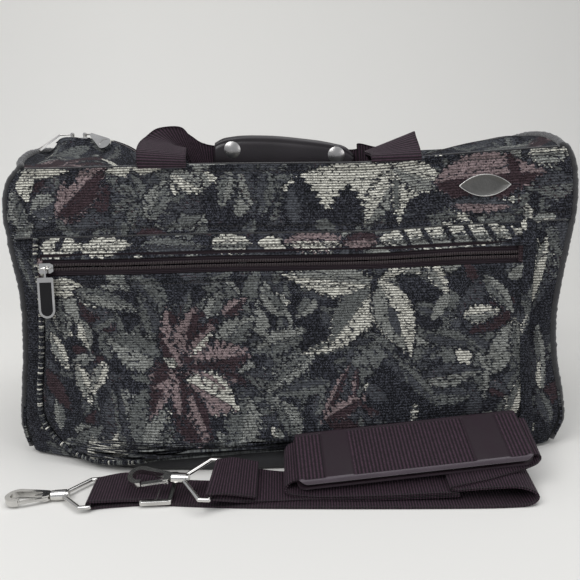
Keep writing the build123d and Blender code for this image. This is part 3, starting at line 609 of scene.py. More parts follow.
# These give values along X: the top seam's height, how far the foot bows out and the zip's height.
FRONT_SEAM = [(-256, 271), (-160, 270), (-80, 269.6), (20, 267.3), (80, 266), (145, 270), (256, 274)]
BOW = [(-256, -7), (-205, 10), (-150, 30), (-70, 36), (4, 34), (90, 26), (180, 8), (256, -7)]
ZIP_LINE = [(-256, 285), (-246, 292), (-236, 298.5), (-211, 297.8), (-190, 296.6), (-170, 290),
            (-148, 277), (-115, 266), (0, 262), (100, 262), (140, 267), (168, 274), (187, 278),
            (206, 281), (233, 284.4), (256, 282)]
# At the ends the top rises from its seam (0, 0) to the zip (1, 1).
SHOULDER = [(0, 0), (0.22, 0.1), (0.45, 0.23), (0.67, 0.36), (0.83, 0.53), (0.93, 0.78), (1, 1)]
RING_BAND = 215.0          # above here the ends reach out to the ring tabs


def smoothstep(value, low, high):
    """Rises smoothly from 0 at low to 1 at high."""
    t = np.clip((np.asarray(value, float) - low) / (high - low), 0, 1)
    return t * t * (3 - 2 * t)


def ridge(value, middle, width):
    """A rounded ridge of height one."""
    return np.exp(-((value - middle) / width) ** 2)


def edge_x(side, z):
    """Where the bag's left (-1) or right edge stands at a height."""
    return smooth_curve(LEFT_EDGE if side < 0 else RIGHT_EDGE, z)


def seam_z(x, face=-1):
    """Height of the front's (-1) or the back's top seam."""
    return smooth_curve(FRONT_SEAM, x * -face)


def ripples(x, z, seed, size, count=7):
    """Soft unevenness of the cloth, within one unit either way."""
    rng = np.random.default_rng(seed)
    total = np.zeros(np.broadcast(x, z).shape)
    for _ in range(count):
        turn = rng.uniform(0, math.pi)
        length = size * rng.uniform(0.6, 1.7)
        along = x * math.cos(turn) + z * math.sin(turn)
        total = total + np.sin(along * 2 * math.pi / length + rng.uniform(0, 6.3))
    return total / count ** 0.5 / 1.4


def crease(x, z, start, end, width):
    """A fold line from start to end: one along its middle, zero away from it."""
    start, end = np.array(start, float), np.array(end, float)
    length = np.linalg.norm(end - start)
    along = ((x - start[0]) * (end[0] - start[0]) + (z - start[1]) * (end[1] - start[1])) / length
    off = ((z - start[1]) * (end[0] - start[0]) - (x - start[0]) * (end[1] - start[1])) / length
    fade_in = smoothstep(along, 0, 0.25 * length)
    return ridge(off, 0, width) * fade_in * (1 - smoothstep(along, 0.75 * length, length))


def wall_point(x, z, lift=0.0, face=-1):
    """A point on the bag's front (face -1) or back, for a place (x, z) on the flat panel; x within 256."""
    x, z = np.asarray(x, float), np.asarray(z, float)
    lift = np.asarray(lift, float)
    side = np.where(x < 0, -1, 1)
    edge = np.where(x < 0, edge_x(-1, z), edge_x(1, z))
    place = x + smoothstep(np.abs(x), 195, 256) * (edge - side * 256)
    height = z + smoothstep(z, 120, SEAM) * (seam_z(x, face) - SEAM)
    depth = smooth_curve(FACE_DEPTH, z)
    bow = smooth_curve(BOW, x * -face) * np.clip(1 - z / 112, 0, 1) ** 1.25
    if face > 0:
        bow = bow * 0.35
    corner = np.clip((np.abs(x) - 244) / 12, 0, 1)
    depth = depth + bow - 6 * (1 - np.sqrt(1 - 0.98 * corner ** 2))
    from_side = smoothstep(256 - np.abs(x), 0, 40)
    depth = depth + 1.3 * ripples(x, z, 3 + face, 150) * from_side * smoothstep(z, 0, 40)
    depth = depth - 1.5 * ridge(z, 210, 3.5)
    depth = depth - 1.6 * crease(x, z, (-205, 112), (180, 100), 5.0)
    return np.stack([place, face * (depth + lift), height], -1)


def arch(side, y):
    """Height of an end's rounded top."""
    seam = 271.5 if side < 0 else 273.5
    rise = 14.5 if side < 0 else 10.5
    return seam + rise * (1 - (np.asarray(y, float) / TOP_REACH) ** 2)


def top_point(x, share, face=-1):
    """A point of a gusset: share 0 at its seam, 1 at its edge beside the zip."""
    x, share = np.broadcast_arrays(np.asarray(x, float), np.asarray(share, float))
    side = np.where(x < 0, -1, 1)
    inner = np.where(np.abs(x) > 243, 0.15, 7.5 - 7.35 * smoothstep(np.abs(x), 237.5, 243))
    seam_depth = TOP_REACH - 1.0 * smoothstep(np.abs(x), 244, 256)
    y = seam_depth + (inner - seam_depth) * share
    zip_z = smooth_curve(ZIP_LINE, x)
    seam = seam_z(x, face) + 1.2 * ridge(y, TOP_REACH, 4)
    raised = np.where(x < 0, 1 - smoothstep(x, -196, -146), smoothstep(x, 135, 232))
    blend = smoothstep(share, 0.0, 1.0)
    rise = smooth_curve(SHOULDER, share)
    shoulder = seam * (1 - rise) + zip_z * rise
    gutter = seam * (1 - blend) + zip_z * blend
    gutter = gutter - 14.5 * np.sin(math.pi * np.clip(share * 1.02, 0, 1)) ** 0.8
    z = gutter * (1 - raised) + shoulder * raised
    from_end = smoothstep(256 - np.abs(x), 0, 30)
    z = z + 1.6 * ripples(x, y * face, 21, 90) * np.sin(math.pi * share) * from_end
    # The hollow that the right pull can lie in.
    z = z - 6.5 * np.exp(-((x - 230) / 20) ** 2 - ((face * y + 24) / 11) ** 2)
    end = smoothstep(np.abs(x), 240, 256)
    z = z * (1 - end) + np.where(x < 0, arch(-1, y), arch(1, y)) * end
    edge = np.where(x < 0, arch_x(-1, y), arch_x(1, y))
    place = x + smoothstep(np.abs(x), 215, 256) * (edge - side * 256)
    return np.stack([place, face * y, z], -1)


def end_point(side, share, z_share):
    """A point of an end panel: share runs from -1 at the front to 1 at the back, z_share up from 0."""
    share, z_share = np.broadcast_arrays(np.asarray(share, float), np.asarray(z_share, float))
    top = arch(side, share * TOP_REACH)
    z = z_share * top
    wall_z = np.minimum(z, SEAM + 3)
    depth = smooth_curve(FACE_DEPTH, wall_z) - 5.5
    y = share * depth
    middle = smooth_curve([(0, 255), (60, 254), (130, 249), (RING_BAND, 255.4), (290, 255.4)], z)
    rim = np.abs(edge_x(side, z)) - 1.5
    bulge = np.clip(1 - share ** 2, 0, 1) ** 0.7
    x = rim * (1 - bulge) + middle * bulge
    x = x + 0.9 * ripples(y, z, 40 + side, 110) * bulge * (1 - smoothstep(z, RING_BAND - 30, RING_BAND))
    return np.stack([side * x, y, z], -1)


def arch_x(side, y):
    """Where an end's rounded top edge stands, along the bag."""
    rim = np.abs(edge_x(side, 275)) - 1.5
    bulge = np.clip(1 - (np.asarray(y, float) / TOP_REACH) ** 2, 0, 1) ** 0.7
    return side * (rim * (1 - bulge) + 255.4 * bulge)


# ---- motifs of the front ----
def paint_yoke(m):
    m.scatter(11, 150, ((-256, 256), (205, 280)), 0.8)
    m.leaves(
        (-250, 267, 0, 58, 13, "cream", None, 0.6),
        (-242, 272, -75, 34, 18, "cream", None, 1.0),
        (-232, 230, 22, 34, 24, "sage", "slate", 2.0),
        (-198, 220, 66, 54, 32, "rose", "plum", 2.0),
        (-207, 226, 43, 68, 32, "rose", "plum", 1.6), (-196, 250, 60, 34, 8, "ground"),
        (-158, 266, 0, 50, 11, "cream", None, 0.8),
    )
    for angle in (100, 150, 205, 260, 320):
        m.leaf((-130, 238), angle, 28, 20, "slate", "green", teeth=1.8)
    m.leaves(
        (-122, 222, 62, 40, 22, "sage", "green", 1.8),
        (-100, 263, -32, 38, 18, "sage", "cream", 2.0),
        (-70, 264, -62, 34, 15, "cream", "sage", 2.0),
        (-60, 252, -92, 38, 22, "ground", None, 2.5),
        (-46, 264, -105, 36, 15, "sage", "green", 2.0),
        (-36, 264, -72, 38, 16, "slate", "sage", 2.0),
        (-12, 264, -98, 42, 17, "green", "slate", 2.0),
        (0, 248, 0, 158, 44, "cream", None, 1.5), (18, 208, 92, 50, 36, "ground", None, 3.5),
        (12, 214, 96, 36, 12, "slate", None, 2.0), (56, 208, 84, 42, 28, "ground", None, 3.5),
        (74, 214, 60, 40, 16, "green", "sage", 2.5),
        (104, 262, -122, 60, 25, "sage", "cream", 1.6),
        (106, 264, -92, 52, 14, "cream", "green", 1.4),
        (100, 264, -26, 58, 24, "cream", "sage", 1.6),
        (112, 226, 8, 46, 16, "ground", None, 2.5), (136, 246, 2, 96, 44, "rose", "plum", 2.2),
        (148, 226, -4, 60, 14, "slate", "rose", 2.0), (200, 268, -70, 34, 8, "plum"),
        (218, 265, 0, 40, 22, "cream", "sage", 2.0),
        (222, 236, 2, 40, 24, "slate", "green", 2.0),
    )


def paint_pocket(m):
    m.scatter(23, 290, ((-240, 230), (-5, 190)), 0.85)
    m.leaves(
        (-216, 166, -4, 36, 18, "cream", None, 1.0), (-190, 162, -18, 66, 15, "green", "sage"),
        (-220, 124, -60, 40, 15, "cream", "sage"), (-187, 136, -76, 32, 14, "sage", "cream"),
        (-193, 96, -70, 42, 13, "cream", "sage"), (-165, 98, -116, 36, 14, "cream", "sage"),
        (-150, 16, 100, 64, 24, "slate", "green"), (-134, 20, 108, 60, 16, "slate", "sage"),
        (-112, 110, 110, 56, 17, "green", "slate", 2.2),
        (-98, 120, 70, 46, 14, "slate", "green"), (-112, 96, 158, 56, 34, "sage", "green", 3.2),
        (-122, 78, -100, 64, 36, "sage", "green", 2.6), (-181, 6, 88, 26, 9, "cream"),
        (-158, 9, 84, 28, 10, "cream"), (-66, 106, 36, 50, 27, "sage", "green", 2.6),
        (-56, 136, 36, 28, 13, "rose", "plum", 2.0),
        (-34, 66, -102, 56, 30, "sage", "green", 3.2),
        (-40, 84, -14, 46, 18, "slate", "green", 2.0),
    )
    for angle, length, width in ((190, 34, 34), (104, 58, 32), (14, 62, 34), (-78, 70, 32)):
        m.leaf((-92, 90), angle, length, width, "rose", "plum", teeth=2.6)
    m.leaves(
        (-99, 108, -112, 66, 23, "rose", "plum", 2.2),
        (-94, 92, 76, 56, 30, "rose", "plum", 2.4), (-86, 96, 60, 46, 15, "plum", "rose", 2.2),
        (-84, 92, 10, 56, 24, "rose", "plum", 2.4), (-92, 90, -12, 58, 18, "plum", "rose", 2.0),
        (-102, 66, -56, 58, 24, "rose", "plum", 2.4),
        (-92, 80, -28, 56, 38, "cream", "rose", 2.8),
        (-98, 84, -84, 40, 15, "plum", "rose", 2.2),
        (-96, 88, 118, 40, 13, "plum", "rose", 2.4),
        (-90, 100, 44, 40, 11, "rose", "cream", 2.2),
        (-104, 84, 205, 24, 11, "rose", "plum", 2.0),
        (-88, 74, -66, 56, 13, "plum", "rose", 2.4),
        (-80, 86, -30, 30, 9, "rose", "cream", 2.0), (-98, 92, 150, 16, 9, "cream", "sage"),
        (20, 122, 200, 56, 22, "green", "sage", 2.4),
        (26, 102, 216, 60, 18, "sage", "green", 2.4),
        (-6, 62, -62, 42, 20, "sage", "green", 2.4),
        (40, 76, 190, 52, 15, "green", "slate", 2.0), (62, 114, 196, 50, 11, "cream", "green"),
        (86, 160, 172, 88, 29, "cream", "sage", 2.2),
        (80, 158, 232, 66, 36, "cream", "green", 2.6),
        (86, 162, 24, 46, 20, "cream", "sage", 1.8),
        (100, 168, -30, 50, 16, "ground", None, 2.0),
        (84, 166, -68, 76, 36, "cream", "sage", 1.8), (93, 142, -71, 32, 9, "slate", None, 0.8),
        (82, 170, -100, 22, 6, "ground"), (128, 180, -60, 34, 14, "cream", "sage"),
        (146, 152, -122, 30, 10, "sage"), (158, 130, 8, 34, 16, "cream", "sage", 2.0),
        (176, 166, -50, 44, 14, "sage", "green"),
        (124, 116, -12, 46, 16, "green", "slate", 2.0),
        (170, 100, -80, 46, 15, "sage", "green", 2.2),
        (120, 74, 8, 56, 22, "slate", "sage", 2.0), (204, 124, -76, 54, 15, "sage", "green"),
        (214, 76, -112, 58, 13, "cream", "green"), (100, 92, -48, 60, 12, "green", "slate"),
        (30, 40, 62, 60, 9, "rose", "plum"), (32, 44, 26, 46, 13, "rose", "plum", 2.4),
        (64, 88, -100, 32, 7, "plum", "rose"),
    )


def paint_front(m):
    plain_scatter(m, 5)
    m.leaves(
        (224, 206, 62, 34, 9, "cream"), (236, 196, -98, 50, 11, "cream", "sage"),
        (228, 142, 76, 44, 11, "sage", "cream"), (238, 120, -84, 54, 12, "sage", "green"),
        (234, 178, -96, 40, 8, "cream"), (242, 90, -100, 46, 10, "sage", "cream"),
        (232, 60, -70, 44, 14, "green", "slate"), (-247, -20, 90, 250, 24, "ground", None, 3.0),
        (-250, 200, -80, 50, 10, "slate", "green"),
    )


def paint_strip(m):
    m.scatter(31, 50, ((-230, 230), (186, 212)), 0.6)
    m.leaves(
        (-224, 200, 0, 44, 19, "cream", None, 1.4, 9), (-208, 196, 60, 18, 7, "ground"),
        (-184, 198, 4, 48, 17, "cream", None, 1.4, 9),
        (-128, 200, -3, 60, 14, "green", "slate"),
        (-66, 199, 2, 40, 17, "cream", "sage", 1.4, 9), (-22, 200, -4, 30, 12, "cream"),
        (0, 200, 0, 66, 17, "rose", "cream", 2.2), (52, 199, 4, 40, 14, "plum", "rose"),
        (84, 201, 0, 136, 24, "cream", "sage", 1.4, 11),
    )
    for at in (104, 122, 142, 160, 178, 196):
        m.leaf((at, 212), -62, 26, 5, "ground", None, teeth=0.4)


def plain_scatter(m, seed):
    """Panels away from the front: the same cloth."""
    u, v = m.u, m.v
    box = ((u.min(), u.max()), (v.min(), v.max()))
    area = (u.max() - u.min()) * (v.max() - v.min())
    m.scatter(seed, int(area / 520), box)
    rng = np.random.default_rng(seed + 100)
    for _ in range(max(2, int(area / 16000))):
        at = (rng.uniform(*box[0]), rng.uniform(*box[1]))
        if rng.uniform() < 0.4:
            m.flower(at, rng.uniform(34, 46), rng.uniform(0, 90))
        else:
            m.spray(at, rng.uniform(0, 360), rng.uniform(40, 66), 18, "sage", "cream")


# ---- cloth panels ----
def tapestry_panel(name, points, u, v, paint, thickness=2.0, **keys):
    """A panel of the bag's cloth; paint draws the motifs on it."""
    motifs = Motifs(u, v)
    paint(motifs)
    cloth_sheet(name, points, u, v, thickness, tapestry, motifs, slot="tapestry", **keys)


def wall_panel(name, xs, zs, lift, paint, face=-1, foot=None, **keys):
    """A tapestry panel of the front or back; foot is its lower edge's height along the bag."""
    x, z = np.meshgrid(xs, zs)
    if foot:
        z = np.maximum(z, smooth_curve(foot, x * -face) + 0.01 * z)
    raised = lift(x, z) if callable(lift) else lift
    points = wall_point(x, z, raised, face)
    if face > 0:
        points = points[:, ::-1]
        x = x[:, ::-1]
    tapestry_panel(name, points, x, z, paint, **keys)


FRONT_FOOT = [(-256, 3), (-205, 4), (-150, 8), (-100, 16), (-60, 20), (5, 23), (110, 17),
              (205, 4), (256, 3)]
POCKET_LEFT = [(9, -228), (60, -235), (117, -233), (185, -229), (210, -227)]
POCKET_RIGHT = 221.0
POCKET_CORNER = 52.0
POCKET_FOOT = [(-236, 10), (-172, 8), (-140, 11), (-100, 18), (-58, 23), (5, 26), (110, 20),
               (222, 12)]
ZIP_LEFT, ZIP_RIGHT = -221.0, 207.0
POCKET_ZIP = 183.0
POCKET_STITCHES = 166.5
YOKE_STITCHES = (214.5, 263.0)


def pocket_lift(x, z):
    """The pocket stands off the front, a little more in the middle."""
    puff = np.clip(1 - (x / 200) ** 2, 0, 1) * np.sin(math.pi * np.clip(z / 180, 0, 1))
    puff = puff * smoothstep(x, -190, -120)
    fold = crease(x, z, (60, 110), (150, 158), 3.0) * 1.2
    fold = fold + 1.1 * ridge(z, POCKET_STITCHES, 1.2) - 0.9 * ridge(z, 172, 2.5)
    return 9.5 + 3.5 * puff + 0.8 * ripples(x, z, 77, 80) * smoothstep(x, -190, -150) - fold


def pocket_rim(count):
    """The pocket's outline on the flat panel: down its left side, along the foot and up its right."""
    heights = np.linspace(210, 9 + POCKET_CORNER, count)
    left = np.stack([smooth_curve(POCKET_LEFT, heights), heights], -1)
    turn = np.linspace(0, math.pi / 2, 24)
    arc = POCKET_CORNER * np.stack([np.cos(turn), np.sin(turn)], -1)
    left_turn = np.array((left[-1, 0] + POCKET_CORNER, 9 + POCKET_CORNER)) - arc[1:]
    xs = np.linspace(left_turn[-1, 0], POCKET_RIGHT - POCKET_CORNER, 2 * count)[1:-1]
    foot = np.stack([xs, smooth_curve(POCKET_FOOT, xs)], -1)
    turn = np.linspace(math.pi / 2, 0, 24)
    arc = POCKET_CORNER * np.stack([np.cos(turn), -np.sin(turn)], -1)
    right_turn = np.array((POCKET_RIGHT - POCKET_CORNER, 12 + POCKET_CORNER)) + arc
    up = np.linspace(12 + POCKET_CORNER, 210, count)[1:]
    right = np.stack([np.full(len(up), POCKET_RIGHT), up], -1)
    return np.concatenate([left, left_turn, foot, right_turn, right])


def pocket_cloth():
    """The pocket's panel: rows narrow round the bottom corners."""
    rim = pocket_rim(60)
    low = np.argmin(rim[:, 1])
    zs = np.concatenate([np.linspace(9.5, 60, 30), np.linspace(60, 160, 50), np.linspace(160, 175.5, 22)])
    zs = np.unique(zs)
    share = np.linspace(0, 1, 210)
    left_z, left_x = rim[:low + 1, 1][::-1], rim[:low + 1, 0][::-1]
    right_z, right_x = rim[low:, 1], rim[low:, 0]
    order_left, order_right = np.argsort(left_z), np.argsort(right_z)
    left = np.interp(zs, left_z[order_left], left_x[order_left])
    right = np.interp(zs, right_z[order_right], right_x[order_right])
    x = left[:, None] + (right - left)[:, None] * share[None, :]
    z = np.repeat(zs[:, None], len(share), 1)
    foot = smooth_curve(POCKET_FOOT, x)
    z = np.maximum(z, foot + (z - zs[0]) * 0.2)
    from_side = np.minimum(x - left[:, None], right[:, None] - x)
    points = wall_point(x, z, pocket_lift(x, z) - 5.5 * (1 - smoothstep(from_side, 0, 9)))
    tapestry_panel("pocket_cloth", points, x, z, paint_pocket, replaces=["pocket_panel"])


xs_fine = np.linspace(-256, 256, 240)


def yoke_lift(x, z):
    """The yoke's hems stand proud and its stitched lines sink in."""
    lift = 1.2 + 1.6 * ridge(z, 210, 2.6) + 1.2 * ridge(z, 268, 2.6)
    for line in YOKE_STITCHES:
        lift = lift - 1.1 * ridge(z, line, 1.2)
    return lift


wall_panel("yoke_cloth", xs_fine, np.linspace(209, SEAM, 72), yoke_lift, paint_yoke,
           replaces=["front_yoke"])
wall_panel("front_cloth", xs_fine, np.linspace(3, 211, 74), 0.0, paint_front, foot=FRONT_FOOT,
           replaces=["front_panel"])
wall_panel("back_cloth", np.linspace(-256, 256, 150), np.linspace(12, SEAM, 80), 0.5,
           partial(plain_scatter, seed=6), face=1, replaces=["back_panel"])


def strip_lift(x, z):
    """The strip above the zip stands off the front and slopes back to the yoke seam."""
    hem = 1.2 * ridge(z, 190.5, 1.8) + 0.7 * np.sin(x / 31) * (1 - smoothstep(z, 190, 200))
    return 9.2 - 8.2 * smoothstep(z, 186, 212) + hem


wall_panel("pocket_strip", np.linspace(-227.5, POCKET_RIGHT, 200), np.linspace(190.0, 211.5, 22),
           strip_lift, paint_strip, replaces=["pocket_top_strip"])
pocket_cloth()

# Pocket cloth beside the zip's ends.
for word, left, right, seed in (("left", -229, ZIP_LEFT, 61), ("right", ZIP_RIGHT, POCKET_RIGHT, 62)):
    wall_panel(f"pocket_cheek_{word}", np.linspace(left, right, 10), np.linspace(174, 192, 10), 9.3,
               partial(plain_scatter, seed=seed))

for face, word in ((-1, "front"), (1, "back")):
    x, share = np.meshgrid(np.linspace(-256, 256, 220), np.linspace(0, 1, 44))
    points = top_point(x, share, face)
    if face > 0:
        points, x, share = points[:, ::-1], x[:, ::-1], share[:, ::-1]
    tapestry_panel(f"top_cloth_{word}", points, x, share * 104, partial(plain_scatter, seed=14 + face),
                   replaces=[f"{word}_gusset"])

for side, word in ((-1, "left"), (1, "right")):
    share, z_share = np.meshgrid(np.linspace(-1, 1, 110) * -side, np.linspace(0.045, 1, 110))
    points = end_point(side, share, z_share)
    tapestry_panel(f"{word}_end_cloth", points, points[..., 1] * -side, points[..., 2],
                   partial(plain_scatter, seed=50 + side), 2.2, replaces=[f"{word}_end_panel"])


def end_welt(side):
    """Path of the piping round an end: up its front edge, over the top and down its back edge."""
    zs = np.linspace(6, SEAM, 60)
    front = wall_point(np.full(60, side * 256.0), zs, 0.3, -1) + (side * 0.9, 0, 0)
    back = wall_point(np.full(60, side * 256.0), zs[::-1], 0.3, 1) + (side * 0.9, 0, 0)
    ys = np.linspace(-103, 103, 50)
    over = np.stack([arch_x(side, ys) + side * 0.6, ys, arch(side, ys) + 0.8], -1)
    return evenly(np.concatenate([front, over, back]), 2.2)


for side, word in ((-1, "left"), (1, "right")):
    path = end_welt(side)
    centre = np.array([0, 0, 130.0])
    up = path - centre
    up[:, 0] = 0
    rng = np.random.default_rng(90 + side)
    fuzz = path + rng.normal(0, 0.25, path.shape)
    tube(f"{word}_welt", fuzz, 3.2, piping, up=up, around=10, slot="binding", replaces=[f"{word}_piping"])


def binding_lift(x, z):
    """The binding is rounded over the pocket's right edge and slopes back at its top."""
    return 11.6 - 9.0 * smoothstep(z, 190, 212) - 1.4 * (np.abs(x - 217.2) / 6.2) ** 4


wall_panel("pocket_right_binding", np.linspace(211, 223.5, 10), np.linspace(13, 210.5, 90),
           binding_lift, lambda m: m.scatter(71, 9, ((205, 228), (0, 210)), 0.8))
rim = pocket_rim(60)
rim = rim[:np.argmax(rim[:, 0] > 210)]
rim_points = wall_point(rim[:, 0], rim[:, 1], 5.0 + 2.5 * smoothstep(210 - rim[:, 1], 0, 20))
rim_points = evenly(rim_points, 1.3)
tube("pocket_welt", rim_points, 2.4, tapestry, up=(0, -1, 0), around=12, motif_seed=8, slot="binding",
     replaces=["pocket_binding"])


def base_shell():
    """The base: a strip up each side and the floor."""
    strips = []
    xs = np.linspace(-254, 254, 120)
    for face in (-1, 1):
        heights = np.array([0.4, 2.0, 5.0, 9.0, 13.0, 17.0, 22.0, 28.0])
        x, z = np.meshgrid(xs, heights)
        lift = np.where(z < 1, -4.5, np.where(z < 3, -2.2, -1.2))
        strips.append(wall_point(x, z, lift, face))
    front, back = strips
    share = np.linspace(0, 1, 12)[1:-1, None, None]
    floor = front[0] * (1 - share) + back[0] * share
    floor[..., 2] = 0.4
    return np.concatenate([front[::-1], floor, back])


points = base_shell()[:, ::-1]
cloth_sheet("base_skin", points, points[..., 0], points[..., 1], 1.5, base_cloth, slot="base_cloth",
            replaces=["base_panel"])

rows = [wall_point(np.linspace(-236, 228, 40), np.full(40, 3.0), -9.0, face) for face in (-1, 1)]
share = np.linspace(0, 1, 12)[:, None, None]
points = rows[0] * (1 - share) + rows[1] * share
points[..., 2] = 5.0
both, faces = sheet_mesh(points, 3.0)
make_object("floor_board", both, faces, board, slot="board", replaces=["base_board"])


# ---- zips ----
def zip_tape(name, path, across, width, node):
    """A tape: path along the teeth, across towards its hidden edge."""
    path, across = np.asarray(path, float), np.broadcast_to(np.asarray(across, float), path.shape)
    shares = np.linspace(0, 1, 6)
    points = path[None] + across[None] * (width * shares)[:, None, None]
    u, v = np.meshgrid(run_along(path), shares * width)
    cloth_sheet(name, points, u, v, 0.8, tape_cloth, slot="zip_tape", replaces=[node])


def zip_teeth(name, path, across, out, node, pitch=1.5):
    """One row of coil loops, each a small rounded bar square to the zip."""
    path = evenly(path, pitch)
    across, out = np.array(across, float), np.array(out, float)
    tangents = np.gradient(path, axis=0)
    tangents /= np.linalg.norm(tangents, axis=1, keepdims=True)
    angles = np.linspace(0, 2 * math.pi, 6, endpoint=False)[:, None]
    points, faces = [], []
    for place, tangent in zip(path, tangents):
        rings = []
        for reach, size in ((-1.35, 0.3), (-1.0, 0.55), (1.0, 0.55), (1.35, 0.3)):
            loop = tangent * (size * np.cos(angles)) + out * (size * 1.35 * np.sin(angles))
            rings.append(place + across * reach + loop)
        add_bar(points, faces, rings)
    make_object(name, points, faces, coil, slot="zip_coil", replaces=[node])


def pocket_line(z, lift, left=-224.0, right=216.0, count=120):
    """A line along the pocket's zip, lifted off the front panel."""
    xs = np.linspace(left, right, count)
    line = wall_point(xs, np.full(count, z), lift)
    level = wall_point(ZIP_LEFT + 7, z, lift)      # both ends stand level with the slider's travel
    ends = smoothstep(np.abs(xs - (ZIP_LEFT + ZIP_RIGHT) / 2), 150, 185)[:, None]
    line[:, 1:] = line[:, 1:] * (1 - ends) + level[1:] * ends
    return line


for side, word in ((-1, "lower"), (1, "upper")):
    zip_tape(f"pocket_{word}_tape_cloth", pocket_line(POCKET_ZIP + side * 0.6, 8.0),
             (0, 0.08 * side, side), 11.0, f"pocket_{word}_tape")
    row = pocket_line(POCKET_ZIP + side * 1.9, 8.9, ZIP_LEFT, ZIP_RIGHT)
    zip_teeth(f"pocket_{word}_teeth", row, (0, 0, 1), (0, -1, 0), f"pocket_{word}_coil")

xs = np.linspace(-240, 240, 140)
for face, word in ((-1, "front"), (1, "back")):
    line = np.stack([xs, np.full(140, face * 0.6), smooth_curve(ZIP_LINE, xs) - 2.0], -1)
    zip_tape(f"main_{word}_tape_cloth", line, (0, face, 0), 8.0, f"main_{word}_tape")
    row = line + np.array([0, face * 1.3, 0.9])
    zip_teeth(f"main_{word}_teeth", row[4:-4], (0, 1, 0), (0, 0, 1), f"main_{word}_coil")


# ---- stitching ----
def stitches(name, path, length=2.6, gap=1.2, radius=0.38):
    """A row of thread stitches lying on the front's cloth."""
    dense = evenly(path, 0.3)
    run = run_along(dense)
    out = np.array((0.0, -1.0, 0.0))
    angles = (2 * math.pi / 5 * np.arange(5))[:, None]
    points, faces = [], []
    at = 0.0
    while at + length < run[-1]:
        rings = []
        for share, height in ((0.0, -0.25), (0.25, 0.3), (0.75, 0.3), (1.0, -0.25)):
            where = at + length * share
            centre = np.array([np.interp(where, run, dense[:, k]) for k in range(3)])
            ahead = np.array([np.interp(where + 0.5, run, dense[:, k]) for k in range(3)])
            tangent = ahead - centre
            tangent /= max(np.linalg.norm(tangent), 1e-9)
            side = np.cross(out, tangent) * radius
            rings.append(centre + out * (height + radius * np.sin(angles)) + side * np.cos(angles))
        add_bar(points, faces, rings)
        at += length + gap
    make_object(name, points, faces, thread)


def front_line(z, lift, left=-250, right=250, count=200):
    """A level line on the bag's front, lifted off the panel."""
    xs = np.linspace(left, right, count)
    return wall_point(xs, np.full(count, float(z)), lift)


for name, z in (("top_seam_stitches", YOKE_STITCHES[1]), ("yoke_seam_stitches", YOKE_STITCHES[0])):
    stitches(name, front_line(z, 0.5))
pocket_xs = np.linspace(-222, 214, 120)
stitches("pocket_zip_stitches", pocket_line(POCKET_STITCHES, 0, -222, 214)
         - np.array([0, 1, 0]) * pocket_lift(pocket_xs, np.full(120, POCKET_STITCHES))[:, None])
# Painted shadow: thin dark tubes along the yoke seam and the top seam stand in for the shade lines there.
tube("yoke_seam_shadow_line", front_line(208.6, 1.9), 0.9, piping, up=(0, -1, 0), around=6)
tube("top_seam_shadow_line", front_line(SEAM + 0.6, 0.6), 0.9, piping, up=(0, -1, 0), around=6)
stitches("strip_stitches", front_line(198, strip_lift(0, 198.0) + 0.2, -218, 214, 120))


# ---- ribbons: handles and strap ----
def ribbon(name, centres, across, halves, thickness, columns=12, **keys):
    """Webbing that follows its centres; across is its width's direction and halves half its width."""
    centres = np.asarray(centres, float)
    across = np.asarray(across, float)
    across /= np.linalg.norm(across, axis=1, keepdims=True)
    halves = np.asarray(halves, float)[None, :]
    shares = np.linspace(-1, 1, columns)
    points = centres[None] + across[None] * (halves[..., None] * shares[:, None, None])
    normal = grid_normals(points)
    top, low = points + normal * thickness / 2, points - normal * thickness / 2
    both = np.concatenate([top.reshape(-1, 3), low.reshape(-1, 3)])
    thing = make_object(name, both, closed_faces(*points.shape[:2]), webbing, slot="webbing", **keys)
    u, v = np.meshgrid(run_along(centres), shares)
    flat = np.concatenate([np.stack([u, v * halves], -1).reshape(-1, 2)] * 2)
    dress(thing, np.column_stack([flat, np.zeros(len(flat))]))
    return thing


HANDLE_EDGES = [  # upper and lower edge of the webbing, from the left anchor to the right one
    (-129, -106.6, 268, -85, -106.6, 267.5), (-129.5, -106.2, 277, -85, -106.2, 273.5),
    (-130.5, -101, 284, -85.5, -101, 278.5), (-131, -88, 290, -87, -90, 283),
    (-128, -77, 295, -89, -79, 283), (-117, -69, 303.5, -89, -71, 274),
    (-97, -65, 304.5, -84, -66, 264), (-87, -63, 296, -75, -63.5, 262.5), (-66, -62, 286, -66, -62, 262.5),
    (0, -62, 283, 0, -62, 258.5), (66, -62, 277.5, 66, -62, 253), (72, -62.2, 283, 74, -63, 255),
    (90, -63.5, 279, 85, -66, 257), (108, -67, 281, 86, -71, 262), (119.5, -73, 287, 80, -79, 269),
    (122.5, -81, 291, 76, -88, 274.5), (123, -88, 286.5, 77.5, -95, 274), (124.5, -98, 278, 80, -100, 273),
    (125, -105.8, 271.5, 81, -105.8, 271), (125, -106.6, 266.5, 81, -106.6, 266),
]
BACK_HANDLE_DROP = 16.0    # the back handle lies lower


def handle(face, node):
    """One collapsed handle: flat at its anchors, folded in half through the grip."""
    edges = spline(np.array(HANDLE_EDGES, float), 8)
    upper, lower = edges[:, :3].copy(), edges[:, 3:].copy()
    if face > 0:
        sunk = BACK_HANDLE_DROP * smoothstep(105 + upper[:, 1], 0, 30)
        upper[:, 2] -= sunk
        lower[:, 2] -= sunk * 0.4
    upper[:, 1] *= -face
    lower[:, 1] *= -face
    halves = np.linalg.norm(upper - lower, axis=1) / 2
    name = f"{'front' if face < 0 else 'back'}_handle_cloth"
    ribbon(name, (upper + lower) / 2, upper - lower, halves, 2.4, replaces=[node])


handle(-1, "front_handle_web")
handle(1, "back_handle_web")

GRIP_SLOPE = math.radians(4.8)
GRIP_REACH = 66.5          # half its length; GRIP_TOP is its height along it
GRIP_TOP = [(-66.5, 25), (-60, 29), (-50, 31.5), (-20, 34), (15, 33), (45, 30), (58, 27), (66.5, 21)]


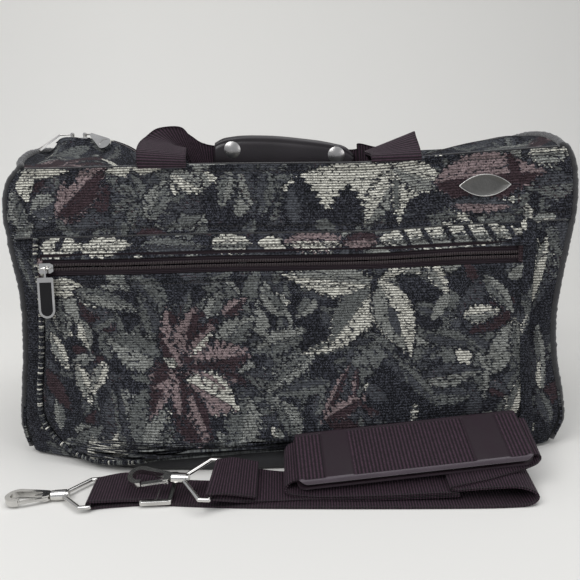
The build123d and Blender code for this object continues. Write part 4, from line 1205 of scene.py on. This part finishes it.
def grip_frame(along, up, out):
    """Place on the grip: along it, up from its lower edge and out to the front."""
    x = along * math.cos(GRIP_SLOPE) + up * math.sin(GRIP_SLOPE)
    z = 258.0 - along * math.sin(GRIP_SLOPE) + up * math.cos(GRIP_SLOPE)
    return np.stack([x, -62.0 - out, z], -1)


def grip():
    """Vinyl folded over the webbing, with a turned edge along its top."""
    outer, inner, top = 4.8, 2.8, 31.0
    section = [(0.3, outer), (6, outer + 0.5), (14, outer + 0.9), (22, outer + 0.6),
               (25.0, outer + 0.2), (26.2, outer - 0.7), (27.2, outer - 0.1), (29, outer - 0.9),
               (30.5, 2.6), (top, 0), (30.5, -2.6), (29, -outer + 0.9), (24, -outer),
               (12, -outer - 0.4), (0.3, -outer), (0.0, -3.6), (0.3, -inner), (14, -inner),
               (26, -inner), (28.4, 0), (26, inner), (14, inner), (0.3, inner), (0.0, 3.6)]
    middle = np.linspace(-GRIP_REACH + 1.5, GRIP_REACH - 1.5, 60)
    along = np.concatenate([[-GRIP_REACH, -GRIP_REACH + 0.5], middle, [GRIP_REACH - 0.5, GRIP_REACH]])
    pinch = np.concatenate([[0.8, 0.94], np.ones(60), [0.94, 0.8]])
    up = np.array([s[0] for s in section])[None, :]
    out = np.array([s[1] for s in section])[None, :]
    a = along[:, None]
    sag = 0.5 * np.sin(a * 0.07) * np.sin(np.clip(up, 0, 31) / 31 * math.pi)
    height = smooth_curve(GRIP_TOP, along)[:, None] / top
    points = grip_frame(a + 0 * up, up * height, (out + sag * np.sign(out)) * pinch[:, None])
    rows, columns = points.shape[:2]
    faces = []
    for first in range(0, (rows - 1) * columns, columns):
        for c in range(columns):
            a, b = first + c, first + (c + 1) % columns
            faces.append((a, a + columns, b + columns, b))
    for first, flip in ((0, False), ((rows - 1) * columns, True)):
        for c in range(11):
            quad = (first + c, first + c + 1, first + columns - 2 - c, first + (columns - 1 - c) % columns)
            faces.append(quad[::-1] if flip else quad)
    make_object("grip_vinyl", points.reshape(-1, 3), faces, vinyl, slot="vinyl", replaces=["grip_wrap"])


grip()

# ---- shoulder strap ----
PAD_CENTRE = np.array((105.0, -187.0, 29.5))
PAD_YAW, PAD_RISE, PAD_TILT = (math.radians(angle) for angle in (3.8, 4.1, 24.0))
PAD_THICKNESS = 9.0
PAD_CORNER = 9.0


def pad_axes():
    """Along the pad, across it and out of its top."""
    flat = math.cos(PAD_RISE)
    along = np.array((math.cos(PAD_YAW) * flat, math.sin(PAD_YAW) * flat, math.sin(PAD_RISE)))
    level = np.array((-math.sin(PAD_YAW), math.cos(PAD_YAW), 0))
    across = level * math.cos(PAD_TILT) + np.cross(along, level) * math.sin(PAD_TILT)
    return along, across, np.cross(along, across)


def hook_ring_turn(centre, turn, roll, first, last, steps=8):
    """Stations of webbing round a hook ring's bar, between two angles in degrees."""
    turn, roll = math.radians(turn), math.radians(roll)
    forward = np.array((math.cos(turn), math.sin(turn), 0))
    side = np.array((-math.sin(turn), math.cos(turn), 0))
    width = side * math.cos(roll) + np.array((0, 0, math.sin(roll)))
    up = np.cross(forward, width)
    bar = np.array(centre) + forward * 33
    reach = 3.0
    places = [bar + forward * reach * math.cos(angle) + up * reach * math.sin(angle)
              for angle in np.radians(np.linspace(first, last, steps))]
    return [np.concatenate([place, width]) for place in places]


def listed(points):
    """Stations from places with the turn and tilt of the webbing's width."""
    out = []
    for x, y, z, turn, tilt in points:
        turn, tilt = math.radians(turn), math.radians(tilt)
        level = math.cos(tilt)
        out.append(np.array((x, y, z, -math.sin(turn) * level, math.cos(turn) * level, math.sin(tilt))))
    return out


def strap_stations():
    """The webbing's places and width directions, from the adjuster to the second hook."""
    along, across, _ = pad_axes()
    stations = listed([(-97, -201, 3.8, 3, 0), (-108, -201.6, 4.8, 3, 0), (-122, -203, 6.0, 5, 2),
                       (-140, -204.6, 7.6, 6, 5)])
    stations += hook_ring_turn((-194.0, -212.0, 4.7), 6, 0, 70, 290)
    stations += listed([
        (-140, -205, 1.4, 6, 0), (-108, -203, 1.2, 4, 0), (-40, -208, 1.2, 0, 0), (60, -211, 1.2, 0, 0),
        (150, -212, 1.2, 0, 0), (184, -211, 1.4, 0, 0), (195, -210, 3.5, 0, 2), (200, -208, 8.5, 0, 5),
        (197, -206, 13.5, 0, 8), (184, -204, 17.0, 1, 10), (160, -203, 16.2, 2, 12),
        (138, -203, 15.4, 3, 14), (131.5, -203, 17.2, 3, 15), (138, -201, 19.2, 3, 17),
        (165, -196, 22.8, 4, 20), (190, -189, 27.0, 4, 22), (203, -185, 30.0, 4, 24),
        (208, -182.5, 33.5, 4, 24), (207, -181, 36.2, 4, 24),
    ])
    for reach in (96, 60, 0, -60, -96):
        stations.append(np.concatenate([PAD_CENTRE + along * reach, across]))
    stations += listed([
        (6, -193, 22.5, 4, 24), (1.5, -194.5, 20.5, 4, 22), (-1, -196, 16, 3, 18), (1, -197.5, 11, 2, 12),
        (9, -199.5, 8.2, 0, 8), (34, -202, 8.0, 0, 8), (90, -203, 10.4, 1, 11), (128, -203, 12.4, 2, 12),
        (139, -203, 10.8, 2, 12), (128, -203, 9.2, 2, 11), (60, -203, 6.0, 1, 7), (20, -202, 4.6, 2, 4),
        (-10, -203, 5.5, 3, 8), (-34, -206.5, 9.5, 1, 14),
    ])
    stations += hook_ring_turn((-91.0, -211.0, 18.7), -5, 15, 290, 70)
    stations += listed([(-46, -209, 19.0, -1, 18), (-24, -205, 13.0, 1, 16)])
    return np.array(stations)


def strap():
    """The strap's webbing, one length from its end at the adjuster to its end at the second hook."""
    stations = spline(strap_stations(), 7)
    path = stations[:, :3]
    run = run_along(path)
    keep = np.concatenate([[True], np.diff(run) > 0.05])
    at = np.linspace(0, run[-1], int(run[-1] / 1.5))
    even = np.stack([np.interp(at, run[keep], stations[keep, k]) for k in range(6)], -1)
    halves = np.full(len(even), 20.0)
    web = ribbon("strap_webbing", even[:, :3], even[:, 3:], halves, 1.8, columns=16, replaces=["strap_web"])


strap()


def crowded(edge, inner, count):
    """Steps from edge to edge; those in edge crowd at both ends."""
    return np.concatenate([-np.array(edge), np.linspace(-inner, inner, count), edge[::-1]])


def pad():
    """Moulded pad: webbing shows in three fields between smooth bridges and raised rims."""
    along, across, normal = pad_axes()
    A, C = np.meshgrid(crowded([98, 97.6, 96.8, 95.5, 93.8], 92, 150),
                       crowded([27, 26.7, 26, 25, 24.2, 23.6], 23, 34))
    corner_a = np.clip(np.abs(A) - (98 - PAD_CORNER), 0, None) / PAD_CORNER
    corner_c = np.clip(np.abs(C) - (27 - PAD_CORNER), 0, None) / PAD_CORNER
    out = np.maximum(np.hypot(corner_a, corner_c), 1e-9)
    shrink = np.maximum(corner_a, corner_c) / out
    A2 = np.where(corner_a > 0, np.sign(A) * (98 - PAD_CORNER + corner_a * shrink * PAD_CORNER), A)
    C2 = np.where(corner_c > 0, np.sign(C) * (27 - PAD_CORNER + corner_c * shrink * PAD_CORNER), C)
    inside = 27 * np.clip(1 - np.maximum(np.abs(C2) / 27, (np.abs(A2) - 71) / 27), 0, 1)
    round_edge = 2.6 * (1 - np.clip(inside / 2.6, 0, 1)) ** 2
    bridge = smoothstep(A, -75, -74) * (1 - smoothstep(A, -51, -50))
    bridge = bridge + smoothstep(A, 49, 50) * (1 - smoothstep(A, 77, 78))
    rim = smoothstep(np.abs(C), 23.0, 23.8)
    raised = np.maximum(bridge, rim)
    height = PAD_THICKNESS / 2 + 0.4 - round_edge + 0.9 * raised
    below = -PAD_THICKNESS / 2 + 0.6 * round_edge
    place = PAD_CENTRE + A2[..., None] * along + C2[..., None] * across
    top = place + height[..., None] * normal
    low = place + below[..., None] * normal
    count = A.size
    both = np.concatenate([top.reshape(-1, 3), low.reshape(-1, 3)])
    thing = make_object("moulded_pad", both, closed_faces(*A.shape), rubber, slot="rubber",
                        replaces=["shoulder_pad"])
    thing.data.materials.append(webbing)
    thing.data.materials.append(pad_rim_highlight)
    raised, across_pad = raised.ravel(), C.ravel()
    for polygon in thing.data.polygons:
        corners = list(polygon.vertices)
        if max(corners) >= count:
            continue
        if all(raised[corner] < 0.5 for corner in corners):
            polygon.material_index = 1
        # The front rim alone gets the lighter rubber: a painted highlight.
        elif across_pad[corners[0]] < -23.5:
            polygon.material_index = 2
    coords = np.stack([A2.ravel() * 0.75, C2.ravel(), np.zeros(count)], -1)
    dress(thing, np.concatenate([coords, coords]))


pad()

# ---- badge ----
def badge():
    """The lens-shaped plate: a bright rim round a darker, faintly brushed middle."""
    low, high = cad("badge_plate")
    centre, half = (low + high) / 2, (high - low) / 2
    lean = math.atan2(5.5, 34)
    up = np.array((0, math.sin(lean), math.cos(lean)))
    out = np.array((0, -math.cos(lean), math.sin(lean)))
    around = 96
    angles = np.linspace(0, 2 * math.pi, around, endpoint=False)
    rings = [(1.0, -1.2), (1.0, 1.0), (0.97, 1.5), (0.92, 1.5), (0.885, 0.95), (0.5, 1.15), (0.02, 1.25)]
    points, faces = [], []
    for scale, height in rings:
        x = half[0] * np.cos(angles)
        z = np.sign(np.sin(angles)) * half[2] * (1 - (x / half[0]) ** 2) ** 0.93
        inset = (1 - scale) * 10
        x = x * (1 - inset / half[0] * 1.6) if scale > 0.8 else x * scale
        z = z * (1 - inset / half[2]) if scale > 0.8 else z * scale
        points.append(centre + x[:, None] * np.array((1, 0, 0)) + z[:, None] * up + height * out)
    last = (len(rings) - 1) * around
    for first in range(0, last, around):
        for k in range(around):
            a, b = first + k, first + (k + 1) % around
            faces.append((b, a, a + around, b + around))
    faces.append(tuple(range(last, last + around))[::-1])
    faces.append(tuple(range(around)))
    thing = make_object("badge", np.concatenate(points), faces, nickel, slot="nickel",
                        replaces=["badge_plate"])
    thing.data.materials.append(badge_metal)
    for polygon in thing.data.polygons:      # the three inner rings and the face they close
        polygon.material_index = int(3 * around <= polygon.index <= last)


badge()

# ---- CAD pieces that stay: finish only ----
FINISH = {"nickel": nickel, "inlay": inlay, "webbing": webbing}    # by the model's own finish

for name in ("left_snap_cap", "right_snap_cap"):
    nodes[name].material_slots[0].material = satin
for thing in nodes.values():
    for slot in thing.material_slots:
        if slot.material and slot.material.name in FINISH:
            slot.material = FINISH[slot.material.name]


# ---- floor ----
def floor():
    """A seamless sweep: flat, then curving up far behind."""
    turn = np.linspace(0, math.pi / 2, 24)[1:]
    ys = np.concatenate([np.linspace(-2500, 520, 8), 520 + 700 * np.sin(turn)])
    zs = np.concatenate([np.zeros(8), 700 * (1 - np.cos(turn))])
    ys, zs = np.append(ys, ys[-1]), np.append(zs, 3000)
    points = [(x, y, z) for y, z in zip(ys, zs) for x in (-4000, 4000)]
    faces = [(2 * i, 2 * i + 1, 2 * i + 3, 2 * i + 2) for i in range(len(ys) - 1)]
    mesh = bpy.data.meshes.new("backdrop")
    mesh.from_pydata((np.array(points) * MM).tolist(), [], faces)
    mesh.polygons.foreach_set("use_smooth", [True] * len(mesh.polygons))
    s = Shader("backdrop")
    place = s.split(s.object_place())
    # Painted shade: the back of the sweep is painted darker towards the right, where less light falls.
    darker = s.math("MULTIPLY", s.span(place[0], -500, 700, 0, 0.16), s.span(place[1], -100, 400))
    colour = s.shade((0.745, 0.735, 0.705), s.math("SUBTRACT", 1.0, darker))
    mesh.materials.append(s.surface(colour, Roughness=0.9, Specular_IOR_Level=0.1))
    thing = bpy.data.objects.new("backdrop", mesh)
    scene.collection.objects.link(thing)


floor()

bpy.context.view_layer.update()
